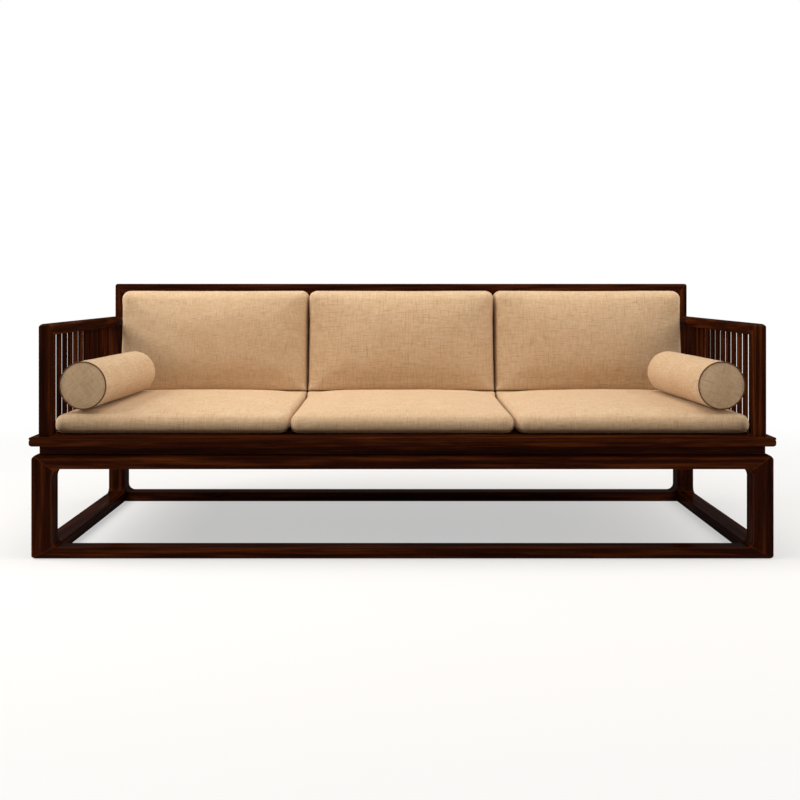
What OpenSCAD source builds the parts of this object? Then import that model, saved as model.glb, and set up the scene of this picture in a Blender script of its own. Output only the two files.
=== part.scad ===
// Three-seat daybed sofa: a stained hardwood frame on an open stand, with comb arms and a comb back,
// three seat cushions, three back cushions and two bolsters that lift off.
// The front is at -Y, the floor is Z = 0 and the origin is the middle of the floor plan. Left and right in
// names are as seen from the front, so right is at +X.

/* [Overall] */
// Width of the seat frame, its widest part
frame_w = 2200; // [1900:10:2400]
// Depth of the seat frame
frame_d = 900; // [820:10:980]
// Height of the seat frame's top above the floor
seat_h = 360; // [330:5:400]
// Height of the arms above the seat frame
arm_h = 334; // [280:2:380]
// Height of the back above the seat frame
back_h = 455; // [420:5:520]

/* [Stand] */
// Side of a square leg
leg_w = 60; // [50:1:70]
// How far the legs stand in from the seat frame's edge
stand_inset = 5; // [2:1:10]
// Height of the floor rails
floor_rail_h = 34; // [28:1:44]
// Height of the aprons
apron_h = 42; // [36:1:60]
// Thickness of the aprons
apron_t = 32; // [28:1:38]
// Height of the recessed waist
waist_h = 24; // [16:1:34]
// Thickness of the waist boards
waist_t = 13; // [10:1:16]
// Radius of the rounded shoulder on top of the aprons and legs
shoulder_r = 18; // [10:1:18]
// Radius of the outer edge under the floor rails
foot_r = 14; // [6:1:20]
// Radius of the window's upper corners, between leg and apron
window_top_r = 28; // [15:1:40]
// Radius of the window's lower corners, between leg and floor rail
window_low_r = 24; // [12:1:36]
// Radius of a leg's outer upright edge
leg_edge_r = 4; // [1:0.5:6]

/* [Seat frame] */
// Width of the mitred seat rails
seat_rail_w = 75; // [70:1:95]
// Thickness of the seat rails
seat_rail_t = 28; // [26:1:36]
// Radius of the seat rails' upper outer edge
rim_top_r = 3; // [1:0.5:5]
// Radius of the seat rails' lower outer edge
rim_low_r = 9; // [4:0.5:12]
// Distance from the seat rails' top to the groove line along their edge
bead_drop = 8; // [6:0.5:10]
// Radius of that groove
bead_r = 1.6; // [0.8:0.1:2.5]
// Width of one seat slat
slat_w = 55; // [40:1:70]
// Least gap between slats
slat_gap = 18; // [12:1:40]
// Thickness of the slats
slat_t = 14; // [10:1:16]
// How far the slats lie below the seat frame's top
slat_drop = 2; // [0:0.5:4]
// How far a slat's end lies on its rebate in the side rail
slat_bearing = 12; // [8:1:16]
// Width of a cross batten
batten_w = 50; // [40:1:60]
// Height of a cross batten
batten_h = 24; // [20:1:40]

/* [Arms and back] */
// Side of a square arm or back post
post_w = 34; // [30:1:40]
// How far the arms stand in from the seat frame's sides
arm_side_inset = 24; // [20:1:30]
// How far the arm posts stand in from the seat frame's front, and the back from its rear
arm_end_inset = 14; // [8:1:20]
// Height of an arm's top rail
arm_rail_h = 34; // [26:1:44]
// Height of the back's top rail
back_rail_h = 36; // [26:1:60]
// Radius along the outside of an arm's top
arm_out_r = 13; // [6:1:15]
// Radius along the inside of an arm's top
arm_in_r = 9; // [4:1:13]
// Radius of an arm's front top corner, seen from the side
arm_front_r = 12; // [4:1:20]
// Radius of the back's two top corners, seen from the front
back_corner_r = 10; // [4:1:20]
// Radius along the back rail's two top edges
back_edge_r = 4; // [1:0.5:8]
// Radius of the posts' upright edges
post_edge_r = 3; // [1:0.5:5]
// Spindle size along the comb
spindle_along = 18; // [10:1:22]
// Spindle size across the comb
spindle_across = 12; // [9:1:20]
// Radius of a spindle's edges
spindle_edge_r = 2; // [1:0.5:4]
// Wished distance from one spindle to the next
spindle_pitch = 54; // [40:1:80]

/* [Joints] */
// Length of the tenons
tenon_l = 12; // [8:1:14]
// How far a mortise is deeper than its tenon
mortise_extra = 1; // [0.5:0.5:2]
// Side of the square tenon on a post's foot or a leg's neck
post_tenon = 18; // [12:1:22]
// Thickness of the tenons through the mitres
mitre_tenon_t = 8; // [6:1:9]
// Width of the tenons through the mitres
mitre_tenon_w = 14; // [10:1:16]
// Wood left beside a spindle's tenon
spindle_shoulder = 2.5; // [2:0.5:4]
// Side of the tongue on top of the waist boards
tongue = 5; // [3:0.5:6]

/* [Cushions] */
// Distance between the two splits that part the three cushions
split_w = 683; // [560:1:760]
// How far the seat cushions' front lies behind the seat frame's edge
cushion_front_inset = 57; // [50:1:110]
// Thickness of a seat cushion at its edge
seat_cushion_t = 64; // [50:1:110]
// How much a seat cushion rises towards its middle
seat_crown = 14; // [5:1:30]
// How far the back cushions' tops lie below the top of the back
back_cushion_drop = 25; // [10:1:60]
// Thickness of a back cushion at its foot
back_cushion_foot_t = 155; // [100:1:180]
// Thickness of a back cushion at its top edge
back_cushion_top_t = 118; // [70:1:140]
// How much a back cushion swells at the front
back_crown = 28; // [5:1:40]
// Gap between the outer back cushions and the back posts
back_side_gap = 24; // [10:1:60]
// Radius of a cushion's boxed edges
cushion_edge_r = 20; // [10:1:30]
// How far a cushion's sides are drawn in between its corners
cushion_pull = 3; // [0:0.5:10]
// Thickness of the fabric and its fibre wrap round a foam core
wrap_t = 12; // [8:1:16]
// Length of a bolster
bolster_l = 515; // [400:5:520]
// Diameter of a bolster
bolster_d = 146; // [120:1:170]
// How far a bolster's near end lies behind the seat frame's edge
bolster_front_inset = 88; // [80:1:120]
// Angle by which the bolsters turn towards each other at the back
bolster_toe = 3.5; // [0:0.5:5]
// Radius of the bolsters' end edges
bolster_edge_r = 7; // [6:0.5:14]
// Bulge of a bolster's end
bolster_bulge = 5; // [2:0.5:8]
// Diameter of the piping round a bolster's ends
piping_d = 5; // [3:0.5:7]
// Gap between soft pieces and what they lie against
soft_gap = 0.3; // [0.2:0.1:1]
// Gap between neighbouring cushions
neighbour_gap = 1; // [0.5:0.5:4]

/* [Hidden] */
$fn = 64;

// Colours as the photograph shows them
wood = [0.27, 0.11, 0.05];
linen = [0.82, 0.72, 0.58];
foam = [0.93, 0.90, 0.78];
piping = [0.30, 0.19, 0.11];

// The sides of the object: the turn of each, seen from above
FRONT = 0;
RIGHT = 90;
REAR = 180;
LEFT = 270;

// Heights from the floor up
seat_under_z = seat_h - seat_rail_t;
stand_h = seat_under_z - waist_h;
window_top_z = stand_h - apron_h;
slat_top_z = seat_h - slat_drop;
batten_top_z = slat_top_z - slat_t;

// Plan of the stand and of the arms and back
stand_w = frame_w - 2 * stand_inset;
stand_d = frame_d - 2 * stand_inset;
waist_back = arm_side_inset - stand_inset;
neck_start = waist_back + waist_t;
opening_w = frame_w - 2 * seat_rail_w;
opening_d = frame_d - 2 * seat_rail_w;
comb_w = frame_w - 2 * arm_side_inset;
inner_w = comb_w - 2 * post_w;
back_front_y = frame_d / 2 - arm_end_inset - post_w;
arm_front_y = -frame_d / 2 + arm_end_inset;
arm_l = back_front_y - arm_front_y;

// Joinery: the tenons through the mitres of the seat frame lie inwards of the posts' tenons
mitre_tenon_z = seat_h - tenon_l + 2;
mitre_tenon_in = seat_rail_w - mitre_tenon_w - 9;
mitre_tenon_start = 20;
leg_tenon_l = mitre_tenon_z - 2 - mortise_extra - seat_under_z - mitre_tenon_t / 2;
foot_tenon = [12, 20];
foot_tenon_in = [leg_w - 22, 14];
foot_tenon_z = 8;
waist_tongue_in = waist_back + (waist_t - tongue) / 2;

// Slats and battens
slat_n = floor((opening_d + slat_gap) / (slat_w + slat_gap));
slat_step = (opening_d + slat_gap) / slat_n;
batten_spread = opening_w / 4;

// Cushions
seat_cushion_z = seat_h + soft_gap;
seat_cushion_y = -frame_d / 2 + cushion_front_inset;
seat_cushion_d = back_front_y - neighbour_gap - seat_cushion_y;
cushion_top_z = seat_cushion_z + seat_cushion_t;
middle_w = split_w - neighbour_gap;
outer_x = split_w / 2 + neighbour_gap / 2;
outer_w = inner_w / 2 - neighbour_gap - outer_x;
back_outer_w = inner_w / 2 - back_side_gap - outer_x;
back_cushion_h = back_h - back_cushion_drop - seat_cushion_t - 2 * soft_gap;
seat_shelf = back_cushion_foot_t + neighbour_gap + 10;
cushion_cells = 12;
shelf_cells = 2;
cushion_low_r = 12;
corner_power = 36;
crown_power = 2.6;
bolster_r = bolster_d / 2;
bolster_y = -frame_d / 2 + bolster_front_inset;
bolster_x = inner_w / 2 - neighbour_gap - bolster_r;

// Helpers

// A rectangle from the origin with its own radius at each corner: low left, low right, top right, top left
module soft_rect(size, r) {
    difference() {
        square(size);
        for (i = [0:3]) {
            right = i == 1 || i == 2;
            high = i > 1;
            if (r[i] > 0)
                translate([right ? size[0] : 0, high ? size[1] : 0])
                    mirror([right ? 1 : 0, 0])
                        mirror([0, high ? 1 : 0])
                            difference() {
                                translate([-1, -1]) square(r[i] + 1);
                                translate([r[i], r[i]]) circle(r[i]);
                            }
        }
    }
}

// Stands a flat drawing up: its X stays X, its Y becomes Z, and it runs back from Y = 0 by depth
module stand_up(depth) {
    translate([0, depth, 0]) rotate([90, 0, 0]) linear_extrude(depth) children();
}

// Lays a drawing of a cross section along X: its X becomes Y, its Y becomes Z
module run_along(len) {
    translate([-len / 2, 0, 0]) rotate([90, 0, 90]) linear_extrude(len) children();
}

// Puts what is drawn for the front on another side: out is that side's distance from the middle
module on_side(turn, out) {
    rotate([0, 0, turn]) translate([0, -out, 0]) children();
}

// Puts what is drawn for the front left corner, growing in +X and +Y, on another corner
module at_corner(right, rear, w, d) {
    mirror([right ? 1 : 0, 0, 0])
        mirror([0, rear ? 1 : 0, 0])
            translate([-w / 2, -d / 2, 0]) children();
}

// Repeats something at both ends of a length
module both_ends(len) {
    for (flip = [0, 1]) mirror([flip, 0, 0]) translate([-len / 2, 0, 0]) children();
}

// A block whose ends are mitred in plan at 45 degrees
module mitre_block(len, depth, z, h) {
    translate([0, 0, z])
        linear_extrude(h)
            polygon([[-len / 2, 0], [len / 2, 0], [len / 2 - depth, depth], [depth - len / 2, depth]]);
}

// Stand: four legs, four aprons and four floor rails, whose faces meet on mitres at every corner

// One side of the stand seen square on, from its left end: a board with a window
module stand_side(len) {
    difference() {
        square([len, stand_h]);
        translate([leg_w, floor_rail_h])
            soft_rect([len - 2 * leg_w, window_top_z - floor_rail_h],
                [window_low_r, window_low_r, window_top_r, window_top_r]);
    }
}

// Height of the lower mitre line at a distance x from the corner, and of the upper one
function low_mitre(x) = floor_rail_h * x / leg_w;
function top_mitre(x) = stand_h - apron_h * x / leg_w;

leg_reach = leg_w + max(window_top_r, window_low_r);

module leg_elevation() {
    intersection() {
        stand_side(stand_d);
        soft_rect([leg_reach, stand_h], [foot_r, 0, 0, shoulder_r]);
        polygon([[0, 0], [leg_reach, low_mitre(leg_reach)], [leg_reach, top_mitre(leg_reach)], [0, stand_h]]);
    }
}

// The two tenons under a leg, or their mortises: one stands in each floor rail
module foot_tenons(extra = 0) {
    for (swap = [0, 1])
        rotate([0, 0, 90 * swap]) mirror([0, swap, 0])
            translate([foot_tenon_in[0], foot_tenon_in[1], foot_tenon_z - extra])
                cube([foot_tenon[0], foot_tenon[1], floor_rail_h - foot_tenon_z + extra]);
}

// The tenon on a leg's neck, or its mortise
module neck_tenon(extra = 0) {
    translate([neck_start + 4, neck_start + 4, seat_under_z - extra])
        cube([post_tenon, post_tenon, leg_tenon_l + 2 * extra]);
}

module leg() {
    difference() {
        intersection() {
            stand_up(leg_reach) leg_elevation();
            rotate([90, 0, 90]) linear_extrude(leg_reach) leg_elevation();
            linear_extrude(stand_h) soft_rect([leg_reach, leg_reach], [leg_edge_r, 0, 0, 0]);
        }
        translate([leg_w, leg_w, 0]) cube([leg_reach, leg_reach, stand_h]);
    }
    foot_tenons();
    translate([apron_t, apron_t, window_top_z - window_top_r])
        cube([leg_w - apron_t, leg_w - apron_t, stand_h - window_top_z + window_top_r]);
    translate([neck_start, neck_start, window_top_z])
        cube([leg_w - neck_start, leg_w - neck_start, seat_under_z - window_top_z]);
    neck_tenon();
}

module floor_rail(len) {
    reach = leg_w + window_low_r;
    difference() {
        intersection() {
            translate([-len / 2, 0, 0]) stand_up(leg_w)
                intersection() {
                    stand_side(len);
                    polygon([[0, 0], [reach, low_mitre(reach)], [len - reach, low_mitre(reach)], [len, 0]]);
                }
            run_along(len) soft_rect([leg_w, stand_h], [foot_r, 0, 0, 0]);
            mitre_block(len, leg_w, 0, stand_h);
        }
        both_ends(len) foot_tenons(mortise_extra);
    }
}

module apron(len) {
    reach = leg_w + window_top_r;
    intersection() {
        translate([-len / 2, 0, 0]) stand_up(apron_t)
            intersection() {
                stand_side(len);
                polygon([[0, stand_h], [reach, top_mitre(reach)], [len - reach, top_mitre(reach)], [len, stand_h]]);
            }
        run_along(len) soft_rect([apron_t, stand_h], [0, 0, 0, shoulder_r]);
        mitre_block(len, apron_t, 0, stand_h);
    }
}

module waist(len) {
    intersection() {
        run_along(len) {
            translate([waist_back, stand_h]) square([waist_t, waist_h]);
            translate([waist_tongue_in, seat_under_z]) square(tongue);
        }
        mitre_block(len, neck_start, stand_h, waist_h + tongue);
    }
}

// Seat frame: mitred rails with hidden tenons, battens under the slats

module seat_rail_section() {
    groove_in = waist_tongue_in + stand_inset;
    difference() {
        soft_rect([seat_rail_w, seat_rail_t], [rim_low_r, 0, 0, rim_top_r]);
        translate([0, seat_rail_t - bead_drop]) circle(bead_r);
        translate([groove_in, 0]) square([tongue, tongue]);
    }
}

// The tenon that a long rail puts through the mitre, or its mortise in the short rail
module mitre_tenon(extra = 0) {
    translate([mitre_tenon_start - extra, mitre_tenon_in, mitre_tenon_z - mitre_tenon_t])
        cube([seat_rail_w - mitre_tenon_start + extra, mitre_tenon_w, mitre_tenon_t]);
}

// The tenon under an arm or back post, from the corner of the seat frame, or its mortise
module post_foot_tenon(extra = 0) {
    margin = (post_w - post_tenon) / 2;
    translate([arm_side_inset + margin, arm_end_inset + margin, seat_h - tenon_l - extra])
        cube([post_tenon, post_tenon, tenon_l + extra]);
}

// Mortises that both rails of a corner share
module corner_mortises() {
    post_foot_tenon(mortise_extra);
    translate([stand_inset, stand_inset, 0]) neck_tenon(mortise_extra);
}

module seat_rail(len) {
    intersection() {
        translate([0, 0, seat_under_z]) run_along(len) seat_rail_section();
        mitre_block(len, seat_rail_w, seat_under_z, seat_rail_t);
    }
}

module seat_rail_long(side) {
    color(wood) difference() {
        union() {
            on_side(side, frame_d / 2) seat_rail(frame_w);
            for (right = [false, true]) at_corner(right, side == REAR, frame_w, frame_d) mitre_tenon();
        }
        for (right = [false, true]) at_corner(right, side == REAR, frame_w, frame_d) corner_mortises();
        for (x = batten_places()) translate([x, 0, 0]) batten_tenons(mortise_extra);
        if (side == REAR) back_comb_tenons(mortise_extra);
    }
}

module seat_rail_short(right) {
    mirror([right ? 1 : 0, 0, 0]) color(wood) difference() {
        on_side(LEFT, frame_w / 2) seat_rail(frame_d);
        for (rear = [false, true]) at_corner(false, rear, frame_w, frame_d) {
            mitre_tenon(mortise_extra);
            corner_mortises();
        }
        translate([-opening_w / 2 - slat_bearing, -opening_d / 2, batten_top_z])
            cube([opening_w, opening_d, seat_rail_t]);
        arm_comb_tenons(mortise_extra);
    }
}

function batten_places() = [-batten_spread, 0, batten_spread];

module batten_tenons(extra = 0) {
    long = opening_d + 2 * (tenon_l + extra);
    translate([-batten_w / 2, -long / 2, batten_top_z - mitre_tenon_t - 2])
        cube([batten_w, long, mitre_tenon_t]);
}

module seat_batten(x) {
    color(wood) translate([x, 0, 0]) {
        translate([-batten_w / 2, -opening_d / 2, batten_top_z - batten_h])
            cube([batten_w, opening_d, batten_h]);
        batten_tenons();
    }
}

module seat_slats() {
    len = opening_w + 2 * slat_bearing;
    color(wood)
        for (i = [0:slat_n - 1])
            translate([0, -opening_d / 2 + slat_step * i + (slat_step - slat_gap - slat_w) / 2, batten_top_z])
                run_along(len) soft_rect([slat_w, slat_t], [0, 0, 2, 2]);
}

// Combs: posts, top rails and spindles of the arms and the back

// Places of the spindles between two posts, measured from the first post
function comb_n(span) = round((span + spindle_along) / spindle_pitch) - 1;
function comb_places(span) =
    let (n = comb_n(span), step = (span - n * spindle_along) / (n + 1))
    [for (i = [0:n - 1]) step + spindle_along / 2 + i * (step + spindle_along)];

arm_span = arm_l - post_w;
arm_spindle_h = arm_h - arm_rail_h;
back_spindle_h = back_h - back_rail_h;

// One spindle standing on the seat frame, long side along X
module spindle(h) {
    linear_extrude(h)
        translate([-spindle_along / 2, -spindle_across / 2])
            soft_rect([spindle_along, spindle_across], [for (i = [0:3]) spindle_edge_r]);
    spindle_tenons(h);
}

module spindle_tenons(h, extra = 0) {
    w = spindle_along - 2 * spindle_shoulder;
    t = spindle_across - 2 * spindle_shoulder;
    translate([-w / 2, -t / 2, -tenon_l - extra]) cube([w, t, h + 2 * (tenon_l + extra)]);
}

// Puts a spindle or its tenons at each place of the left arm's comb, or of the back's
module along_arm_comb() {
    for (p = comb_places(arm_span))
        translate([-comb_w / 2 + post_w / 2, arm_front_y + post_w + p, seat_h])
            rotate([0, 0, 90]) children();
}

module along_back_comb() {
    for (p = comb_places(inner_w))
        translate([-inner_w / 2 + p, back_front_y + post_w / 2, seat_h]) children();
}

module arm_comb_tenons(extra = 0) {
    along_arm_comb() spindle_tenons(arm_spindle_h, extra);
}

module back_comb_tenons(extra = 0) {
    along_back_comb() spindle_tenons(back_spindle_h, extra);
}

module arm_spindles(right) {
    mirror([right ? 1 : 0, 0, 0]) color(wood) along_arm_comb() spindle(arm_spindle_h);
}

module back_spindles() {
    color(wood) along_back_comb() spindle(back_spindle_h);
}

// Puts what is drawn for the left arm at its front post's outer foot
module at_arm(right) {
    mirror([right ? 1 : 0, 0, 0]) translate([-comb_w / 2, arm_front_y, seat_h]) children();
}

// The tenon from an arm post up into its rail, the one from the rail into the back post, or their mortises
module arm_joint_tenons(extra = 0) {
    mid = (post_w - mitre_tenon_w) / 2;
    translate([mid, mid, arm_h - arm_rail_h])
        cube([mitre_tenon_w, mitre_tenon_w, arm_rail_h - tenon_l + extra]);
    translate([mid, arm_l - tenon_l, arm_h - arm_rail_h + mid])
        cube([mitre_tenon_w, 2 * tenon_l + extra, mitre_tenon_w]);
}

// An arm seen from its side, front at X = 0, cut to the part below or above the mitre line
module arm_elevation(rail) {
    mitre = [post_w, arm_h - arm_rail_h];
    intersection() {
        soft_rect([arm_l, arm_h], [0, 0, 0, arm_front_r]);
        polygon(rail ? [[0, arm_h], mitre, [arm_l, mitre[1]], [arm_l, arm_h]]
                     : [[0, 0], [post_w, 0], mitre, [0, arm_h]]);
    }
}

module arm_post(right) {
    color(wood) {
        at_arm(right) {
            intersection() {
                stand_up(post_w) soft_rect([post_w, arm_h], [0, 0, arm_in_r, arm_out_r]);
                rotate([90, 0, 90]) linear_extrude(post_w) arm_elevation(false);
                linear_extrude(arm_h) soft_rect([post_w, post_w], [post_edge_r, post_edge_r, 0, 0]);
            }
            intersection() {
                arm_joint_tenons();
                cube([post_w, post_w, arm_h]);
            }
        }
        at_corner(right, false, frame_w, frame_d) post_foot_tenon();
    }
}

module arm_rail(right) {
    mid = (post_w - mitre_tenon_w) / 2;
    color(wood) difference() {
        union() {
            at_arm(right) intersection() {
                translate([0, 0, arm_h - arm_rail_h])
                    stand_up(arm_l) soft_rect([post_w, arm_rail_h], [2, 2, arm_in_r, arm_out_r]);
                rotate([90, 0, 90]) linear_extrude(post_w) arm_elevation(true);
            }
            at_arm(right) translate([mid, arm_l - tenon_l, arm_h - arm_rail_h + mid])
                cube([mitre_tenon_w, 2 * tenon_l, mitre_tenon_w]);
        }
        at_arm(right) intersection() {
            arm_joint_tenons(mortise_extra);
            cube([post_w, post_w, arm_h]);
        }
        mirror([right ? 1 : 0, 0, 0]) arm_comb_tenons(mortise_extra);
    }
}

// The tenon from a back post up into the back rail, or its mortise
module back_joint_tenon(extra = 0) {
    mid = (post_w - mitre_tenon_w) / 2;
    translate([mid, mid, back_h - back_rail_h])
        cube([mitre_tenon_w, mitre_tenon_w, back_rail_h - tenon_l + extra]);
}

// Puts what is drawn for the left end of the back at its outer foot
module at_back(right) {
    mirror([right ? 1 : 0, 0, 0]) translate([-comb_w / 2, back_front_y, seat_h]) children();
}

// The back seen from the front, from its left end, cut to a post or to the rail
module back_elevation(rail) {
    low = back_h - back_rail_h;
    intersection() {
        soft_rect([comb_w, back_h], [0, 0, back_corner_r, back_corner_r]);
        polygon(rail ? [[0, back_h], [post_w, low], [comb_w - post_w, low], [comb_w, back_h]]
                     : [[0, 0], [post_w, 0], [post_w, low], [0, back_h]]);
    }
}

module back_post(right) {
    color(wood) difference() {
        union() {
            at_back(right) {
                intersection() {
                    stand_up(post_w) back_elevation(false);
                    linear_extrude(back_h) soft_rect([post_w, post_w], [for (i = [0:3]) post_edge_r]);
                    rotate([90, 0, 90]) linear_extrude(post_w)
                        soft_rect([post_w, back_h], [0, 0, back_edge_r, back_edge_r]);
                }
                back_joint_tenon();
            }
            at_corner(right, true, frame_w, frame_d) post_foot_tenon();
        }
        at_arm(right) intersection() {
            arm_joint_tenons(mortise_extra);
            translate([0, arm_l, 0]) cube([post_w, post_w, arm_h]);
        }
    }
}

module back_rail() {
    color(wood) difference() {
        translate([-comb_w / 2, back_front_y, seat_h]) intersection() {
            stand_up(post_w) back_elevation(true);
            translate([comb_w / 2, 0, back_h - back_rail_h])
                run_along(comb_w) soft_rect([post_w, back_rail_h], [2, 2, back_edge_r, back_edge_r]);
        }
        for (right = [false, true]) at_back(right) back_joint_tenon(mortise_extra);
        back_comb_tenons(mortise_extra);
    }
}

// Cushions: a crowned form with sides drawn in between the corners, flat below, round a foam core.
// size is width, depth and edge thickness; the thickness at the far edge may differ, and the crown
// leaves a flat shelf at the far edge where another cushion stands.

// Steps from -1 to 1, closer together towards the ends
function tick(i, n) = let (t = 2 * i / n - 1) sign(t) * (1 - pow(1 - abs(t), 1.5));
function swell(s) = abs(s) > 1 ? 0 : 1 - pow(abs(s), crown_power);

// Share of the half depth at row j, with the last rows on the shelf
function row_share(j, size, shelf) =
    let (open = 1 - shelf / size[1])
    j <= cushion_cells ? (tick(j, cushion_cells) + 1) * open - 1
                       : 2 * open - 1 + 2 * (1 - open) * (j - cushion_cells) / shelf_cells;

// Pulls the corners of a unit square in to a soft corner
function round_share(u, v) =
    let (m = max(abs(u), abs(v)))
    m == 0 ? 1 : m / pow(pow(abs(u), corner_power) + pow(abs(v), corner_power), 1 / corner_power);

// A point of the cushion's plan, inset from its outline
function plan_point(u, v, size, inset) =
    let (
        k = round_share(u, v),
        half = [size[0] / 2 - inset, size[1] / 2 - inset],
        pull = [cushion_pull * pow(abs(u), 8) * (1 - v * v), cushion_pull * pow(abs(v), 8) * (1 - u * u)]
    )
    [u * k * half[0] - sign(u) * pull[0], v * k * half[1] - sign(v) * pull[1]];

function edge_t(v, size, far_t) = size[2] + (far_t - size[2]) * (v + 1) / 2;

// How far the outline reaches from the middle towards the near edge
function near_reach(size) =
    max([for (i = [0:cushion_cells]) -plan_point(tick(i, cushion_cells), -1, size, 0)[1]]);

// Height of the crown over the edge at shares u and v of the half width and depth
function crown_z(u, v, size, crown, shelf) =
    crown * swell(u) * swell((v + 1) / (1 - shelf / size[1]) - 1);

// The form as points and triangles: the top's grid, then rings down the side, then the middle of the underside
module cushion_form(size, far_t, crown, shelf = 0) {
    nx = cushion_cells;
    ny = cushion_cells + (shelf > 0 ? shelf_cells : 0);
    us = [for (i = [0:nx]) tick(i, nx)];
    vs = [for (j = [0:ny]) row_share(j, size, shelf)];
    rim = concat(
        [for (i = [0:nx - 1]) [i, 0]], [for (j = [0:ny - 1]) [nx, j]],
        [for (i = [nx:-1:1]) [i, ny]], [for (j = [ny:-1:1]) [0, j]]);
    n = len(rim);
    top = [for (j = [0:ny]) for (i = [0:nx])
        let (p = plan_point(us[i], vs[j], size, cushion_edge_r))
        [p[0], p[1], edge_t(vs[j], size, far_t) + crown_z(us[i], vs[j], size, crown, shelf)]];
    // Each ring is an inset from the outline and a height, from the boxed edge down to the underside
    turns = [60, 30, 0];
    upper = [for (a = turns) for (c = rim)
        let (u = us[c[0]], v = vs[c[1]], p = plan_point(u, v, size, cushion_edge_r * (1 - cos(a))))
        [p[0], p[1], edge_t(v, size, far_t) - cushion_edge_r * (1 - sin(a))]];
    lower = [for (k = [0, 1]) for (c = rim)
        let (p = plan_point(us[c[0]], vs[c[1]], size, k * cushion_low_r))
        [p[0], p[1], (1 - k) * cushion_low_r]];
    function rim_index(k) = rim[k % n][1] * (nx + 1) + rim[k % n][0];
    start = (nx + 1) * (ny + 1);
    bands = len(turns) + 2;
    function ring_index(r, k) = r == 0 ? rim_index(k) : start + (r - 1) * n + k % n;
    faces = concat(
        [for (j = [0:ny - 1]) for (i = [0:nx - 1]) let (a = j * (nx + 1) + i) [a, a + nx + 1, a + 1]],
        [for (j = [0:ny - 1]) for (i = [0:nx - 1]) let (a = j * (nx + 1) + i) [a + 1, a + nx + 1, a + nx + 2]],
        [for (r = [0:bands - 1]) for (k = [0:n - 1])
            [ring_index(r, k), ring_index(r, k + 1), ring_index(r + 1, k)]],
        [for (r = [0:bands - 1]) for (k = [0:n - 1])
            [ring_index(r, k + 1), ring_index(r + 1, k + 1), ring_index(r + 1, k)]],
        [for (k = [0:n - 1]) [ring_index(bands, k), ring_index(bands, k + 1), start + bands * n]]);
    polyhedron(concat(top, upper, lower, [[0, 0, 0]]), faces);
}

// The foam block inside a cushion, its ends cut square and its face following the taper
module foam_block(size, far_t) {
    inset = wrap_t + cushion_pull + cushion_edge_r / 4;
    half = size[1] / 2 - inset;
    run_along(size[0] - 2 * inset)
        polygon([[-half, wrap_t], [half, wrap_t],
            [half, edge_t(half / size[1] * 2, size, far_t) - wrap_t],
            [-half, edge_t(-half / size[1] * 2, size, far_t) - wrap_t]]);
}

// A cushion's cover, hollow for its foam, or the foam alone
module cushion(size, far_t, crown, shelf, part) {
    if (part == "foam")
        color(foam) foam_block(size, far_t);
    else
        color(linen) difference() {
            cushion_form(size, far_t, crown, shelf);
            foam_block(size, far_t);
        }
}

// side is -1, 0 or 1, from the left outer cushion to the right one
module seat_cushion(side, part) {
    w = side == 0 ? middle_w : outer_w;
    translate([side * (outer_x + outer_w / 2), seat_cushion_y + seat_cushion_d / 2, seat_cushion_z])
        cushion([w, seat_cushion_d, seat_cushion_t], seat_cushion_t, seat_crown, seat_shelf, part);
}

module back_cushion(side, part) {
    size = [side == 0 ? middle_w : back_outer_w, back_cushion_h, back_cushion_foot_t];
    translate([side * (outer_x + back_outer_w / 2), back_front_y - neighbour_gap,
            cushion_top_z + soft_gap + near_reach(size)])
        rotate([90, 0, 0]) cushion(size, back_cushion_top_t, back_crown, 0, part);
}

// Bolsters

// Height of the left seat cushion's face at a place in the whole object
function seat_face_z(x, y) =
    let (
        size = [outer_w, seat_cushion_d, seat_cushion_t],
        u = (x + outer_x + outer_w / 2) / (outer_w / 2 - cushion_edge_r),
        v = (y - seat_cushion_y - seat_cushion_d / 2) / (seat_cushion_d / 2 - cushion_edge_r)
    )
    cushion_top_z + crown_z(u, v, size, seat_crown, seat_shelf);

// The bolster's axis lies as low as it can without entering the cushion under it
bolster_z = soft_gap + max([for (a = [0:0.05:1]) for (b = [-1:0.1:1])
    let (
        x = -bolster_x + a * bolster_l * sin(bolster_toe) + b * bolster_r,
        y = bolster_y + a * bolster_l * cos(bolster_toe)
    )
    seat_face_z(x, y) + bolster_r * sqrt(1 - b * b)]);

module at_bolster(right) {
    mirror([right ? 1 : 0, 0, 0])
        translate([-bolster_x, bolster_y, bolster_z])
            rotate([0, 0, -bolster_toe]) rotate([-90, 0, 0]) children();
}

// A ring of piping half sunk in the rounded edge at each end
module piping_rings() {
    out = bolster_r - bolster_edge_r * (1 - cos(45));
    in = bolster_edge_r * (1 - sin(45));
    for (z = [in, bolster_l - in])
        translate([0, 0, z]) rotate_extrude() translate([out, 0]) circle(piping_d / 2);
}

module bolster_core() {
    translate([0, 0, wrap_t]) cylinder(r = bolster_r - wrap_t, h = bolster_l - 2 * wrap_t);
}

module bolster_body() {
    r = bolster_edge_r;
    face_r = bolster_r - r - 3;
    dome_r = (face_r * face_r + bolster_bulge * bolster_bulge) / (2 * bolster_bulge);
    rotate_extrude() {
        soft_rect([bolster_r, bolster_l], [0, r, r, 0]);
        for (flip = [0, 1])
            translate([0, bolster_l / 2]) mirror([0, flip])
                intersection() {
                    translate([0, bolster_l / 2 + bolster_bulge - dome_r]) circle(dome_r);
                    square([face_r, bolster_l / 2 + bolster_bulge]);
                }
    }
}

module bolster(right) {
    color(linen) at_bolster(right) difference() {
        bolster_body();
        bolster_core();
        piping_rings();
    }
}

module bolster_filling(right) {
    color(foam) at_bolster(right) bolster_core();
}

module bolster_piping(right) {
    color(piping) at_bolster(right) piping_rings();
}

// Parts as the stand and the seat frame place them

module stand_leg(right, rear) {
    color(wood) at_corner(right, rear, stand_w, stand_d) leg();
}

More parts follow.
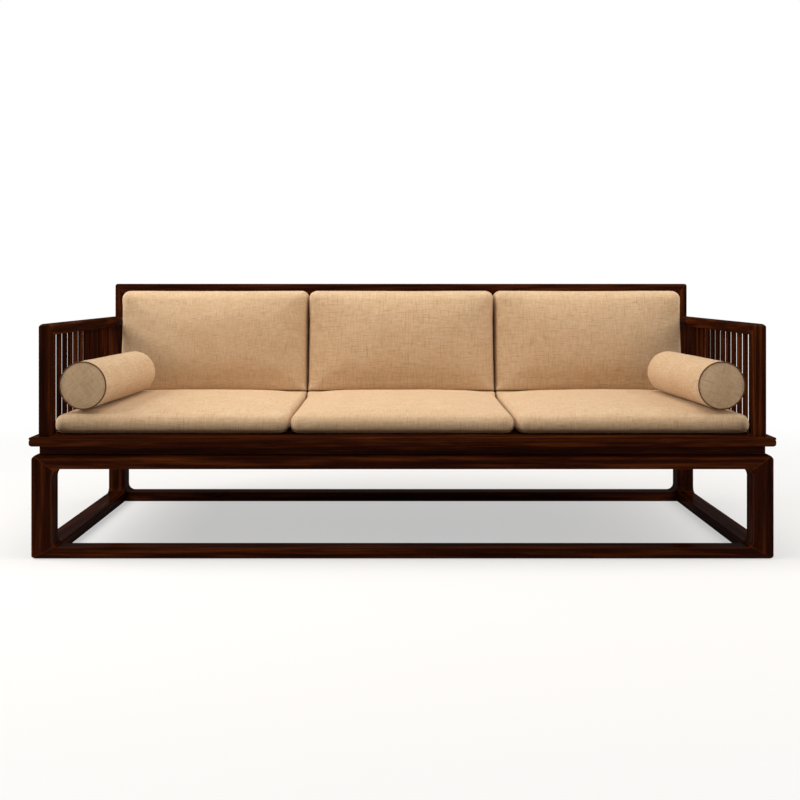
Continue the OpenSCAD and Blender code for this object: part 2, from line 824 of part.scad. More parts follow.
module stand_rail(side) {
    long = side == FRONT || side == REAR;
    color(wood) on_side(side, (long ? stand_d : stand_w) / 2) floor_rail(long ? stand_w : stand_d);
}

module stand_apron(side) {
    long = side == FRONT || side == REAR;
    color(wood) on_side(side, (long ? stand_d : stand_w) / 2) apron(long ? stand_w : stand_d);
}

module stand_waist(side) {
    long = side == FRONT || side == REAR;
    color(wood) on_side(side, (long ? stand_d : stand_w) / 2) waist(long ? stand_w : stand_d);
}

stand_leg(false, false);  // leg_front_left
stand_leg(true, false);  // leg_front_right
stand_leg(false, true);  // leg_rear_left
stand_leg(true, true);  // leg_rear_right
stand_rail(FRONT);  // floor_rail_front
stand_rail(REAR);  // floor_rail_rear
stand_rail(LEFT);  // floor_rail_left
stand_rail(RIGHT);  // floor_rail_right
stand_apron(FRONT);  // apron_front
stand_apron(REAR);  // apron_rear
stand_apron(LEFT);  // apron_left
stand_apron(RIGHT);  // apron_right
stand_waist(FRONT);  // waist_front
stand_waist(REAR);  // waist_rear
stand_waist(LEFT);  // waist_left
stand_waist(RIGHT);  // waist_right
seat_rail_long(FRONT);  // seat_rail_front
seat_rail_long(REAR);  // seat_rail_rear
seat_rail_short(false);  // seat_rail_left
seat_rail_short(true);  // seat_rail_right
seat_batten(batten_places()[0]);  // seat_batten_left
seat_batten(batten_places()[1]);  // seat_batten_middle
seat_batten(batten_places()[2]);  // seat_batten_right
seat_slats();
arm_post(false);  // arm_post_left
arm_rail(false);  // arm_rail_left
arm_spindles(false);  // arm_spindles_left
arm_post(true);  // arm_post_right
arm_rail(true);  // arm_rail_right
arm_spindles(true);  // arm_spindles_right
back_post(false);  // back_post_left
back_post(true);  // back_post_right
back_rail();
back_spindles();
seat_cushion(-1, "cover");  // seat_cushion_left
seat_cushion(0, "cover");  // seat_cushion_middle
seat_cushion(1, "cover");  // seat_cushion_right
seat_cushion(-1, "foam");  // seat_foam_left
seat_cushion(0, "foam");  // seat_foam_middle
seat_cushion(1, "foam");  // seat_foam_right
back_cushion(-1, "cover");  // back_cushion_left
back_cushion(0, "cover");  // back_cushion_middle
back_cushion(1, "cover");  // back_cushion_right
back_cushion(-1, "foam");  // back_foam_left
back_cushion(0, "foam");  // back_foam_middle
back_cushion(1, "foam");  // back_foam_right
bolster(false);  // bolster_left
bolster(true);  // bolster_right
bolster_filling(false);  // bolster_core_left
bolster_filling(true);  // bolster_core_right
bolster_piping(false);  // bolster_piping_left
bolster_piping(true);  // bolster_piping_right
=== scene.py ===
import logging
import math
from collections.abc import Callable, Sequence
from dataclasses import dataclass, field
from enum import Enum

import bmesh
import bpy
import numpy as np
from mathutils import Matrix, Vector, noise


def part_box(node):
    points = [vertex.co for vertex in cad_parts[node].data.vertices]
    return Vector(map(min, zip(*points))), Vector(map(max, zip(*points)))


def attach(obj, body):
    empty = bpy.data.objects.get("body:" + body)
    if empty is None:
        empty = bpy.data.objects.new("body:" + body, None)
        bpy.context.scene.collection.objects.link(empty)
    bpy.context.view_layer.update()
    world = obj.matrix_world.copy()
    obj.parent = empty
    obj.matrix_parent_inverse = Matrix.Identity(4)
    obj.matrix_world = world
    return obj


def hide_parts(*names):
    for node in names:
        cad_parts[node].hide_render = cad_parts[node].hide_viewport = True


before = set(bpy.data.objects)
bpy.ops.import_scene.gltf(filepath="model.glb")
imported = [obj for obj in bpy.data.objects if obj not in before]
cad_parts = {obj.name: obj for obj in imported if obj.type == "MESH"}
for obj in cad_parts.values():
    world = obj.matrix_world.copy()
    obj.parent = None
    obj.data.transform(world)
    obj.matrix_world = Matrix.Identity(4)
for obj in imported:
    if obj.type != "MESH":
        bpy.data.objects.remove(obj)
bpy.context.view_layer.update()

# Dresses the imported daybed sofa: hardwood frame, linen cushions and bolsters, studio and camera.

log = logging.getLogger("daybed")
Colour = tuple[float, float, float, float]
Triple = tuple[float, float, float]
Waves = tuple[Triple, ...]
CLOTH_MAP = "cloth"
SEAM_DISTANCE = "seam_distance"
REST_PLACE = "rest_place"
# Places that are closer than this count as one, in metres.
TOUCHING = 1e-5
# Unevenness of used fillings, and puckers: height, waves in a metre, shift of the seed.
USED_CUSHION: Waves = ((0.0021, 4.4, 0.0), (0.0009, 12.0, 31.0))
SEAM_PUCKERS: Waves = ((0.0009, 60.0, 7.0), (0.0007, 24.0, 0.0))
USED_BOLSTER: Waves = ((0.0009, 8.0, 0.0), (0.0004, 22.0, 11.0))
RIM_PUCKERS: Waves = ((0.0007, 85.0, 4.0),)
WOUND_CORD: Waves = ((0.00022, 140.0, 2.0),)


# Shader graphs


class Wire:
    """A value in a shader graph. Arithmetic on it adds one Math node for each operator."""

    def __init__(self, graph: "Graph", socket: bpy.types.NodeSocket) -> None:
        """Wraps an output socket of the graph."""
        self.graph = graph
        self.socket = socket

    def math(self, operation: str, *others: "Wire | float") -> "Wire":
        """Adds a Math node whose first input is this value.

        Args:
            operation: The Math node's operation.
            others: The node's other inputs, in order.

        Returns:
            The node's result.
        """
        inputs = dict(enumerate((self, *others)))
        return self.graph.node("ShaderNodeMath", {"operation": operation}, inputs)

    def __add__(self, other: "Wire | float") -> "Wire":
        """This value plus another."""
        return self.math("ADD", other)

    __radd__ = __add__

    def __mul__(self, other: "Wire | float") -> "Wire":
        """This value times another."""
        return self.math("MULTIPLY", other)

    __rmul__ = __mul__

    def __sub__(self, other: "Wire | float") -> "Wire":
        """This value less another."""
        return self.math("SUBTRACT", other)

    def __rsub__(self, other: float) -> "Wire":
        """A number less this value."""
        return self.math("MULTIPLY", -1.0).math("ADD", other)

    def __truediv__(self, other: "Wire | float") -> "Wire":
        """This value divided by another."""
        return self.math("DIVIDE", other)

    def sine(self) -> "Wire":
        """The sine of this value."""
        return self.math("SINE")

    def floor(self) -> "Wire":
        """This value rounded down."""
        return self.math("FLOOR")

    def over(self, low: float, high: float) -> "Wire":
        """Rises smoothly from 0 where this value is low to 1 where it is high.

        Args:
            low: The value that gives 0.
            high: The value that gives 1; below low, the step falls instead.

        Returns:
            The smooth step.
        """
        settings = {"interpolation_type": "SMOOTHSTEP"}
        inputs = {0: self, 1: low, 2: high}
        return self.graph.node("ShaderNodeMapRange", settings, inputs)


class Graph:
    """The node graph of one material or of the world."""

    def __init__(self, tree: bpy.types.NodeTree) -> None:
        """Empties the tree and keeps it."""
        tree.nodes.clear()
        self.tree = tree

    @classmethod
    def material(cls, name: str) -> tuple["Graph", bpy.types.Material]:
        """Starts a new material.

        Args:
            name: The material's name.

        Returns:
            Its empty graph, and the material.
        """
        made = bpy.data.materials.new(name)
        made.use_nodes = True
        return cls(made.node_tree), made

    def node(
        self,
        kind: str,
        settings: dict[str, object] | None = None,
        inputs: dict[int | str, object] | None = None,
        out: int | str = 0,
    ) -> Wire:
        """Adds a node.

        Args:
            kind: The node's type.
            settings: Its properties; "stops" holds a ramp's places and colours.
            inputs: Values or wires for its input sockets, by index or name.
            out: The output to return.

        Returns:
            That output.
        """
        made = self.tree.nodes.new(kind)
        for key, value in (settings or {}).items():
            if key == "stops":
                ramp = made.color_ramp
                while len(ramp.elements) < len(value):
                    ramp.elements.new(1.0)
                for element, (place, colour) in zip(ramp.elements, value):
                    element.position = place
                    element.color = colour
            else:
                setattr(made, key, value)
        for key, value in (inputs or {}).items():
            if isinstance(value, Wire):
                self.tree.links.new(value.socket, made.inputs[key])
            else:
                made.inputs[key].default_value = value
        return Wire(self, made.outputs[out])

    def parts(self, vector: Wire) -> tuple[Wire, Wire, Wire]:
        """Takes a vector apart.

        Args:
            vector: The vector.

        Returns:
            Its three components.
        """
        first = self.node("ShaderNodeSeparateXYZ", inputs={0: vector})
        outputs = first.socket.node.outputs
        return first, Wire(self, outputs[1]), Wire(self, outputs[2])

    def vector(self, x: Wire | float, y: Wire | float, z: Wire | float) -> Wire:
        """Joins three values to a vector."""
        return self.node("ShaderNodeCombineXYZ", inputs={0: x, 1: y, 2: z})

    def noise(self, at: Wire, scale: float, detail: float = 2.0, roughness: float = 0.5) -> Wire:
        """Smooth noise from 0 to 1 at a place.

        Args:
            at: The place.
            scale: Cells in one unit of the place.
            detail: Octaves of finer noise.
            roughness: Share that each octave keeps.

        Returns:
            The noise.
        """
        inputs = {"Vector": at, "Scale": scale, "Detail": detail, "Roughness": roughness}
        return self.node("ShaderNodeTexNoise", inputs=inputs)

    def mix(
        self, share: Wire | float, a: Wire | Colour, b: Wire | Colour, blend: str = "MIX"
    ) -> Wire:
        """Mixes two colours.

        Args:
            share: How much of the second colour shows.
            a: The first colour.
            b: The second colour.
            blend: How they mix.

        Returns:
            The mixed colour.
        """
        settings = {"data_type": "RGBA", "blend_type": blend}
        return self.node("ShaderNodeMix", settings, {0: share, 6: a, 7: b}, out=2)

    def surface(self, **inputs: object) -> None:
        """Ends a material in one Principled shader.

        Args:
            inputs: Its sockets, with underscores for the spaces in their names.
        """
        named = {key.replace("_", " "): value for key, value in inputs.items()}
        shader = self.node("ShaderNodeBsdfPrincipled", inputs=named)
        self.node_output("ShaderNodeOutputMaterial", shader)

    def node_output(self, kind: str, shader: Wire) -> None:
        """Links a shader to the graph's output node."""
        output = self.tree.nodes.new(kind)
        self.tree.links.new(shader.socket, output.inputs["Surface"])

    def bump(self, height: Wire, strength: float = 1.0) -> Wire:
        """The normal of a surface with this height, in millimetres."""
        inputs = {"Strength": strength, "Distance": 0.001, "Height": height}
        return self.node("ShaderNodeBump", inputs=inputs)


# Finishes


class Grain(Enum):
    """The way a member's grain runs."""

    ACROSS = 0
    DEEP = 1
    UPRIGHT = 2


@dataclass(frozen=True)
class Comb:
    """Equal members side by side in one node, so that each gets wood of its own.

    Attributes:
        axis: The axis along which they stand in a row.
        start: Where the first one's share of the row starts.
        pitch: From one to the next.
    """

    axis: int
    start: float
    pitch: float


@dataclass(frozen=True)
class StainedHardwood:
    """Dark red-brown stained hardwood under a satin lacquer, lighter on its edges: partly rubbed
    stain, partly a painted highlight.

    Attributes:
        deep: The darkest bands.
        body: The wood's main colour.
        streak: The lightest bands.
        rubbed_and_highlit: The edges' colour, lighter where the stain is worn and where a highlight
            is painted.
        pore: The open pores.
        stretch: How much longer the figure is along the grain, as a share of its scale.
        edge_reach: How far from an edge the wear and the painted highlight reach.
        seed_step: How far apart in the noise two members lie.
    """

    deep: Colour = (0.0080, 0.0016, 0.0005, 1.0)
    body: Colour = (0.026, 0.0047, 0.0010, 1.0)
    streak: Colour = (0.092, 0.0205, 0.0042, 1.0)
    rubbed_and_highlit: Colour = (0.210, 0.055, 0.0130, 1.0)
    pore: Colour = (0.0035, 0.0009, 0.0004, 1.0)
    stretch: float = 0.045
    edge_reach: float = 0.0035
    seed_step: float = 3.7

    def dress(
        self, name: str, grain: Grain, seed: int, comb: Comb | None = None
    ) -> bpy.types.Material:
        """Makes the material of one member.

        Args:
            name: The member's name.
            grain: The way its grain runs.
            seed: Sets its wood apart from the other members'.
            comb: How its pieces stand in a row, if it has several.

        Returns:
            The material.
        """
        graph, made = Graph.material(f"hardwood_{name}")
        place = graph.node("ShaderNodeTexCoord", out="Object")
        axes = graph.parts(place)
        shift: Wire | float = seed * self.seed_step
        tone: Wire | float = 0.0
        if comb is not None:
            cell = ((axes[comb.axis] - comb.start) / comb.pitch).floor() + seed * 17.0
            own = graph.node("ShaderNodeTexWhiteNoise", {"noise_dimensions": "1D"}, {"W": cell})
            shift = own * 40.0 + shift
            tone = own * 0.16 - 0.08
        stretched = (
            axis * self.stretch if index == grain.value else axis
            for index, axis in enumerate(axes)
        )
        wood = graph.vector(*(axis + shift for axis in stretched))

        sway = graph.noise(wood, 9.0, 2.0)
        swayed = graph.vector(*(part + sway * 0.05 for part in graph.parts(wood)))
        bands = graph.noise(swayed, 62.0, 4.0, 0.62)
        figure = bands * 0.78 + sway * 0.22 + tone
        stops = [(0.33, self.deep), (0.50, self.body), (0.68, self.streak)]
        colour = graph.node("ShaderNodeValToRGB", {"stops": stops}, {0: figure})
        pores = graph.noise(wood, 900.0, 1.0).over(0.60, 0.72) * bands.over(0.62, 0.42)
        colour = graph.mix(pores * 0.75, colour, self.pore)

        flat = graph.node("ShaderNodeNewGeometry", out="Normal")
        rounded = graph.node("ShaderNodeBevel", {"samples": 4}, {"Radius": self.edge_reach})
        product = {"operation": "DOT_PRODUCT"}
        facing = graph.node("ShaderNodeVectorMath", product, {0: flat, 1: rounded}, out="Value")
        # Every edge is lightened: partly worn stain, partly a painted highlight along the edges.
        worn_and_highlit = facing.over(0.995, 0.90) * graph.noise(wood, 55.0, 2.0).over(0.30, 0.62)
        colour = graph.mix(worn_and_highlit * 0.42, colour, self.rubbed_and_highlit)

        smooth = graph.noise(place, 14.0, 3.0)
        height = graph.noise(place, 26.0, 1.0) * 0.05 - pores * 0.10 + bands * 0.03
        graph.surface(
            Base_Color=colour,
            Roughness=smooth * 0.14 + pores * 0.20 - worn_and_highlit * 0.06 + 0.29,
            Specular_IOR_Level=0.0,
            Coat_Weight=0.03,
            Coat_Roughness=0.25,
            Normal=graph.bump(height, 0.6),
        )
        return made


@dataclass(frozen=True)
class Slubs:
    """Threads of one kind that thicken at random both ways of the weave.

    Attributes:
        length: Length of a thick place, in metres.
        width: Its width, in metres.
        low: The noise below which a thread stays thin.
        shifts: How far apart in the noise the weft and the warp lie.
    """

    length: float
    width: float
    low: float
    shifts: tuple[float, float]

    def woven(self, graph: Graph, u: Wire, v: Wire, seed: float) -> tuple[Wire, Wire]:
        """Adds the threads to a graph.

        Args:
            graph: The material's graph.
            u: Place along the weft, in metres.
            v: Place along the warp, in metres.
            seed: Sets this piece's cloth apart from the others'.

        Returns:
            Strength of the weft's and of the warp's threads, from 0 to 1.
        """
        strengths = []
        for shift, along, across in zip(self.shifts, (u, v), (v, u)):
            lengths = (along + shift) * (1.0 / self.length)
            at = graph.vector(lengths, across * (1.0 / self.width), seed)
            strengths.append(graph.noise(at, 1.0, 2.0, 0.55).over(self.low, self.low + 0.17))
        return strengths[0], strengths[1]


@dataclass(frozen=True)
class SlubLinen:
    """Beige slub linen: a plain weave whose threads thicken and darken at random both ways.

    Attributes:
        ground: The cloth's main colour.
        dark: Its darker threads; also the painted shade in the weave's hollows and the painted
            shadow in the seam's groove.
        pale: Its lighter threads.
        coarse: Its thickest threads, which are dark.
        fine: Its thinner dark threads.
        light: Its thick pale threads.
        thread: Width of one thread, in metres.
        turn: Angle of the weave on the piece's map, in degrees.
        seed: Sets this piece's cloth apart from the others'.
    """

    ground: Colour = (0.650, 0.452, 0.274, 1.0)
    dark: Colour = (0.300, 0.165, 0.075, 1.0)
    pale: Colour = (0.800, 0.640, 0.450, 1.0)
    coarse: Slubs = Slubs(0.040, 0.0028, 0.54, (0.0, 5.0))
    fine: Slubs = Slubs(0.030, 0.0017, 0.44, (9.0, 14.0))
    light: Slubs = Slubs(0.036, 0.0026, 0.55, (21.0, 27.0))
    thread: float = 0.0011
    turn: float = 0.0
    seed: float = 0.0

    def dress(self, name: str) -> bpy.types.Material:
        """Makes the cloth's material.

        Args:
            name: The name of the piece that wears it.

        Returns:
            The material.
        """
        graph, made = Graph.material(f"slub_linen_{name}")
        flat = graph.node("ShaderNodeUVMap", {"uv_map": CLOTH_MAP})
        if self.turn:
            turned = (0.0, 0.0, math.radians(self.turn))
            flat = graph.node("ShaderNodeMapping", inputs={"Vector": flat, "Rotation": turned})
        u, v, _ = graph.parts(flat)
        weft, warp = self.coarse.woven(graph, u, v, self.seed)
        fine_weft, fine_warp = self.fine.woven(graph, u, v, self.seed)
        pale_weft, pale_warp = self.light.woven(graph, u, v, self.seed)
        cloud = graph.noise(graph.vector(u, v, self.seed + 3.0), 13.0, 3.0)
        step = math.pi / self.thread
        crossing = (u * step).sine() * (v * step).sine()
        seam = graph.node("ShaderNodeAttribute", {"attribute_name": SEAM_DISTANCE}, out="Fac")
        # Near the seam the cloth is darkened: painted shadow in the seam's groove. The same mask
        # sinks the groove in the bump.
        seam_groove = seam.over(0.0019, 0.0004)

        colour: Wire | Colour = self.ground
        for share, shade in (
            (cloud.over(0.30, 0.75) * 0.22, self.pale),
            (pale_weft * 0.34, self.pale),
            (pale_warp * 0.34, self.pale),
            (weft * 0.34, self.dark),
            (warp * 0.32, self.dark),
            ((fine_weft + fine_warp) * 0.17, self.dark),
            # The weave's low places are darkened: painted shade in its hollows.
            (crossing.over(0.0, -1.0) * 0.16, self.dark),
            # Painted shadow in the seam's groove.
            (seam_groove * 0.30, self.dark),
        ):
            colour = graph.mix(share, colour, shade)

        height = crossing * 0.05 + (weft + warp) * 0.13 + (fine_weft + fine_warp) * 0.07
        height = height + (pale_weft + pale_warp) * 0.10 - seam_groove * 0.45
        graph.surface(
            Base_Color=colour,
            Roughness=cloud * 0.10 + 0.84,
            Specular_IOR_Level=0.22,
            Sheen_Weight=0.16,
            Sheen_Roughness=0.45,
            Sheen_Tint=(1.0, 0.88, 0.72, 1.0),
            Normal=graph.bump(height, 0.85),
        )
        return made


@dataclass(frozen=True)
class CordedPiping:
    """Brown cloth wound on the bias round a cord.

    Attributes:
        ground: The cloth's colour.
        thread: Its darker threads.
        stripes: How close the bias threads lie, in radians for each metre.
    """

    ground: Colour = (0.130, 0.060, 0.026, 1.0)
    thread: Colour = (0.050, 0.021, 0.010, 1.0)
    stripes: float = 3600.0

    def dress(self, name: str) -> bpy.types.Material:
        """Makes the piping's material.

        Args:
            name: The name of the piece that wears it.

        Returns:
            The material.
        """
        graph, made = Graph.material(f"brown_piping_{name}")
        u, v, _ = graph.parts(graph.node("ShaderNodeUVMap", {"uv_map": CLOTH_MAP}))
        bias = ((u + v) * self.stripes).sine() * 0.5 + 0.5
        patch = graph.noise(graph.vector(u, v, 2.0), 160.0, 3.0)
        colour = graph.mix(bias * 0.55, self.ground, self.thread)
        colour = graph.mix(patch.over(0.45, 0.70) * 0.5, colour, self.ground)
        graph.surface(
            Base_Color=colour,
            Roughness=patch * 0.12 + 0.74,
            Specular_IOR_Level=0.25,
            Normal=graph.bump(bias * 0.16 + patch * 0.10, 0.8),
        )
        return made


# Modelling by hand


def lone(piece: bpy.types.Object | None = None) -> None:
    """Deselects everything, then selects one piece.

    Args:
        piece: The piece to select, if any.
    """
    bpy.ops.object.select_all(action="DESELECT")
    if piece is not None:
        piece.select_set(True)
        bpy.context.view_layer.objects.active = piece


def pick(
    piece: bpy.types.Object,
    kind: str,
    test: Callable[[Vector], bool],
    also: Callable[[Sequence[Vector]], bool] | None = None,
) -> None:
    """Selects, in edit mode, the vertices, edges or faces whose points all pass a test.

    Args:
        piece: The piece in edit mode.
        kind: VERT, EDGE or FACE.
        test: Whether a point belongs.
        also: Whether an element with these points belongs, if that is asked too.
    """
    bpy.ops.mesh.select_mode(type=kind)
    bpy.ops.mesh.select_all(action="DESELECT")
    mesh = bmesh.from_edit_mesh(piece.data)
    for element in {"VERT": mesh.verts, "EDGE": mesh.edges, "FACE": mesh.faces}[kind]:
        points = [point.co for point in ([element] if kind == "VERT" else element.verts)]
        if all(map(test, points)) and (also is None or also(points)):
            element.select_set(True)
    bmesh.update_edit_mesh(piece.data)


def copy_of(piece: bpy.types.Object, name: str) -> bpy.types.Object:
    """Copies a piece with a mesh of its own.

    Args:
        piece: The piece to copy.
        name: The copy's name.

    Returns:
        The copy.
    """
    lone(piece)
    bpy.ops.object.duplicate(linked=False)
    made = bpy.context.active_object
    made.name = name
    return made


def rows_of(elements: bpy.types.bpy_prop_collection, key: str) -> np.ndarray:
    """Reads a vector from each element of a mesh's list.

    Args:
        elements: The list.
        key: The name of the vector.

    Returns:
        One row for each element.
    """
    flat = np.empty(len(elements) * 3, dtype=np.float32)
    elements.foreach_get(key, flat)
    return flat.reshape(-1, 3).astype(float)


def points_of(piece: bpy.types.Object) -> np.ndarray:
    """The places of a mesh's points, one row each."""
    return rows_of(piece.data.vertices, "co")


def move_points(piece: bpy.types.Object, points: np.ndarray) -> None:
    """Puts a mesh's points at new places."""
    piece.data.vertices.foreach_set("co", points.astype(np.float32).ravel())
    piece.data.update()


def normals_of(piece: bpy.types.Object) -> np.ndarray:
    """The normals at a mesh's points, one row each."""
    return rows_of(piece.data.vertices, "normal")


def keep_attribute(piece: bpy.types.Object, name: str, values: np.ndarray) -> None:
    """Writes a value or a vector for each point.

    Args:
        piece: The piece.
        name: The attribute's name.
        values: One value or one row of three for each point.
    """
    kind, key = ("FLOAT", "value") if values.ndim == 1 else ("FLOAT_VECTOR", "vector")
    kept = piece.data.attributes.get(name) or piece.data.attributes.new(name, kind, "POINT")
    kept.data.foreach_set(key, values.astype(np.float32).ravel())


def kept_vectors(piece: bpy.types.Object, name: str) -> np.ndarray:
    """Reads a vector attribute, one row for each point."""
    return rows_of(piece.data.attributes[name].data, "vector")


def apply_modifier(piece: bpy.types.Object, kind: str, **settings: object) -> None:
    """Adds a modifier to a piece and applies it.

    Args:
        piece: The piece.
        kind: The modifier's type.
        settings: Its properties.
    """
    lone(piece)
    made = piece.modifiers.new(kind.lower(), kind)
    for key, value in settings.items():
        setattr(made, key, value)
    bpy.ops.object.modifier_apply(modifier=made.name)


def ripple(points: np.ndarray, waves: Waves, seed: float) -> np.ndarray:
    """Adds up smooth noise at each point.

    Args:
        points: The places.
        waves: Height, waves in a metre and shift of the seed, for each noise.
        seed: Sets one use apart from another.

    Returns:
        One height for each point.
    """
    heights = np.zeros(len(points))
    for height, per_metre, shift in waves:
        at = points * per_metre + (seed + shift)
        heights += height * np.array([noise.noise(Vector(row)) for row in at])
    return heights


def smooth_step(values: np.ndarray, low: float, high: float) -> np.ndarray:
    """Rises smoothly from 0 at low to 1 at high."""
    share = np.clip((values - low) / (high - low), 0.0, 1.0)
    return share * share * (3.0 - 2.0 * share)


def map_cloth(piece: bpy.types.Object, corners: np.ndarray) -> None:
    """Writes the cloth map that the weave follows.

    Args:
        piece: The piece.
        corners: Two numbers, in metres, for each corner of each face.
    """
    layer = piece.data.uv_layers.new(name=CLOTH_MAP)
    layer.data.foreach_set("uv", corners.astype(np.float32).ravel())


def put_in_place(piece: bpy.types.Object, place: Matrix, *finishes: bpy.types.Material) -> None:
    """Moves a piece from where it was built, smooths it and dresses it.

    Args:
        piece: The piece.
        place: Takes it from where it was built to where it belongs.
        finishes: Its materials, in order.
    """
    rest = piece.data.attributes.get(REST_PLACE)
    if rest is not None:
        piece.data.attributes.remove(rest)
    piece.data.transform(place)
    lone(piece)
    bpy.ops.object.shade_smooth()
    piece.data.materials.clear()
    for finish in finishes:
        piece.data.materials.append(finish)


def face_points(piece: bpy.types.Object) -> np.ndarray:
    """Reads which points each face joins.

    Args:
        piece: A piece whose faces all have four points.

    Returns:
        The points' numbers, one row for each face.
    """
    flat = np.empty(len(piece.data.loops), dtype=np.int32)
    piece.data.loops.foreach_get("vertex_index", flat)
    return flat.reshape(-1, 4)


def squeezed(
    values: np.ndarray, limit: float, reach: float, share: np.ndarray | float
) -> np.ndarray:
    """Draws values that end just short of a limit closer to it, as a weight squares a soft edge.

    Args:
        values: The values to move.
        limit: The value that they are drawn to.
        reach: How far from the limit the pull ends.
        share: Share of the way that a value next to the limit is moved.

    Returns:
        The moved values.
    """
    spare = np.maximum(limit - values, 0.0)
    return values + share * spare * np.clip(1.0 - spare / reach, 0.0, 1.0)


def unwrap_turn(values: np.ndarray, turn: float) -> np.ndarray:
    """Keeps a coordinate that runs round a piece from jumping inside a face.

    Args:
        values: The coordinate at each face's corners, one row for each face.
        turn: The length of one full round.

    Returns:
        The coordinate, carried past the end of the round where a face crosses it.
    """
    crosses = (values.max(axis=1) - values.min(axis=1)) > turn / 2
    return np.where(crosses[:, None] & (values < 0), values + turn, values)


@dataclass(frozen=True)
class Filling:
    """How a cover takes its filling in a cloth simulation.

    Attributes:
        pressure: The filling's pressure.
        stiffness: How hard the cloth is to stretch or to push together.
        bending: How hard it is to bend.
        cap: The furthest that a point moves, in metres.
        frames: Length of the simulation.
        levels: Steps in which the points are held more or less firmly.
    """

    pressure: float
    stiffness: float
    bending: float
    cap: float
    frames: int = 20
    levels: int = 10

    def swell(self, piece: bpy.types.Object, held: np.ndarray) -> np.ndarray:
        """Fills a cover.

        Args:
            piece: The cover.
            held: How firmly each point is held, from 0 to 1.

        Returns:
            How far each point moved, capped, one row each.
        """
        before = points_of(piece)
        group = piece.vertex_groups.new(name="held")
        for level in range(1, self.levels + 1):
            near = np.nonzero(np.rint(held * self.levels) == level)[0]
            if len(near):
                group.add(near.tolist(), level / self.levels, "REPLACE")
        lone(piece)
        filling = piece.modifiers.new("filling", "CLOTH")
        cloth = filling.settings
        cloth.quality = 4
        cloth.mass = 0.35
        cloth.tension_stiffness = self.stiffness
        cloth.compression_stiffness = self.stiffness
        cloth.bending_stiffness = self.bending
        cloth.use_pressure = True
        cloth.uniform_pressure_force = self.pressure
        cloth.vertex_group_mass = group.name
        cloth.effector_weights.gravity = 0.0
        filling.collision_settings.use_collision = False
        filling.point_cache.frame_start = 1
        filling.point_cache.frame_end = self.frames
        scene = bpy.context.scene
        for step in range(1, self.frames + 1):
            scene.frame_set(step)
        bpy.ops.object.modifier_apply(modifier=filling.name)
        scene.frame_set(1)
        piece.vertex_groups.clear()
        moved = points_of(piece) - before
        length = np.linalg.norm(moved, axis=1)
        log.info("%s: the cloth moved %.1f mm at most", piece.name, length.max() * 1e3)
        return moved * (self.cap * np.tanh(length / self.cap) / np.maximum(length, 1e-9))[:, None]


# Frame


@dataclass
class HardwoodFrame:
    """The stand, seat frame, arms and back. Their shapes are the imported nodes' own.

    Attributes:
        finish: The wood's finish.
        spindle_along: Width of a spindle along its row.
        slat_width: Width of a slat under the seat.
    """

    finish: StainedHardwood = field(default_factory=StainedHardwood)
    spindle_along: float = 0.018
    slat_width: float = 0.055

    def grain_of(self, name: str) -> Grain:
        """Finds the way the grain runs in a node, from its longest side or its upright members.

        Args:
            name: The node's name.

        Returns:
            The grain.
        """
        if "spindles" in name:
            return Grain.UPRIGHT
        low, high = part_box(name)
        size = high - low
        return Grain(max(range(3), key=lambda axis: size[axis]))

    def comb_of(self, name: str) -> Comb | None:
        """How a node's members stand in a row.

        Args:
            name: The node's name.

        Returns:
            The row, or nothing where the node is a single member.
        """
        rows = {
            "arm_spindles_left": (1, 14, self.spindle_along),
            "arm_spindles_right": (1, 14, self.spindle_along),
            "back_spindles": (0, 38, self.spindle_along),
            "seat_slats": (1, 10, self.slat_width),
        }
        if name not in rows:
            return None
        axis, count, width = rows[name]
        low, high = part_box(name)
        pitch = (high[axis] - low[axis] - width) / (count - 1)
        return Comb(axis, low[axis] + width / 2 - pitch / 2, pitch)

    def dress(self) -> int:
        """Gives every wooden node its own wood.

        Returns:
            How many nodes were dressed.
        """
        soft = ("cushion", "foam", "bolster")
        wooden = sorted(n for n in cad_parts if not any(word in n for word in soft))
        for seed, name in enumerate(wooden, start=1):
            made = self.finish.dress(name, self.grain_of(name), seed, self.comb_of(name))
            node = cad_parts[name]
            if not node.material_slots:
                node.data.materials.append(made)
            for slot in node.material_slots:
                slot.material = made
        return len(wooden)


# Cushions


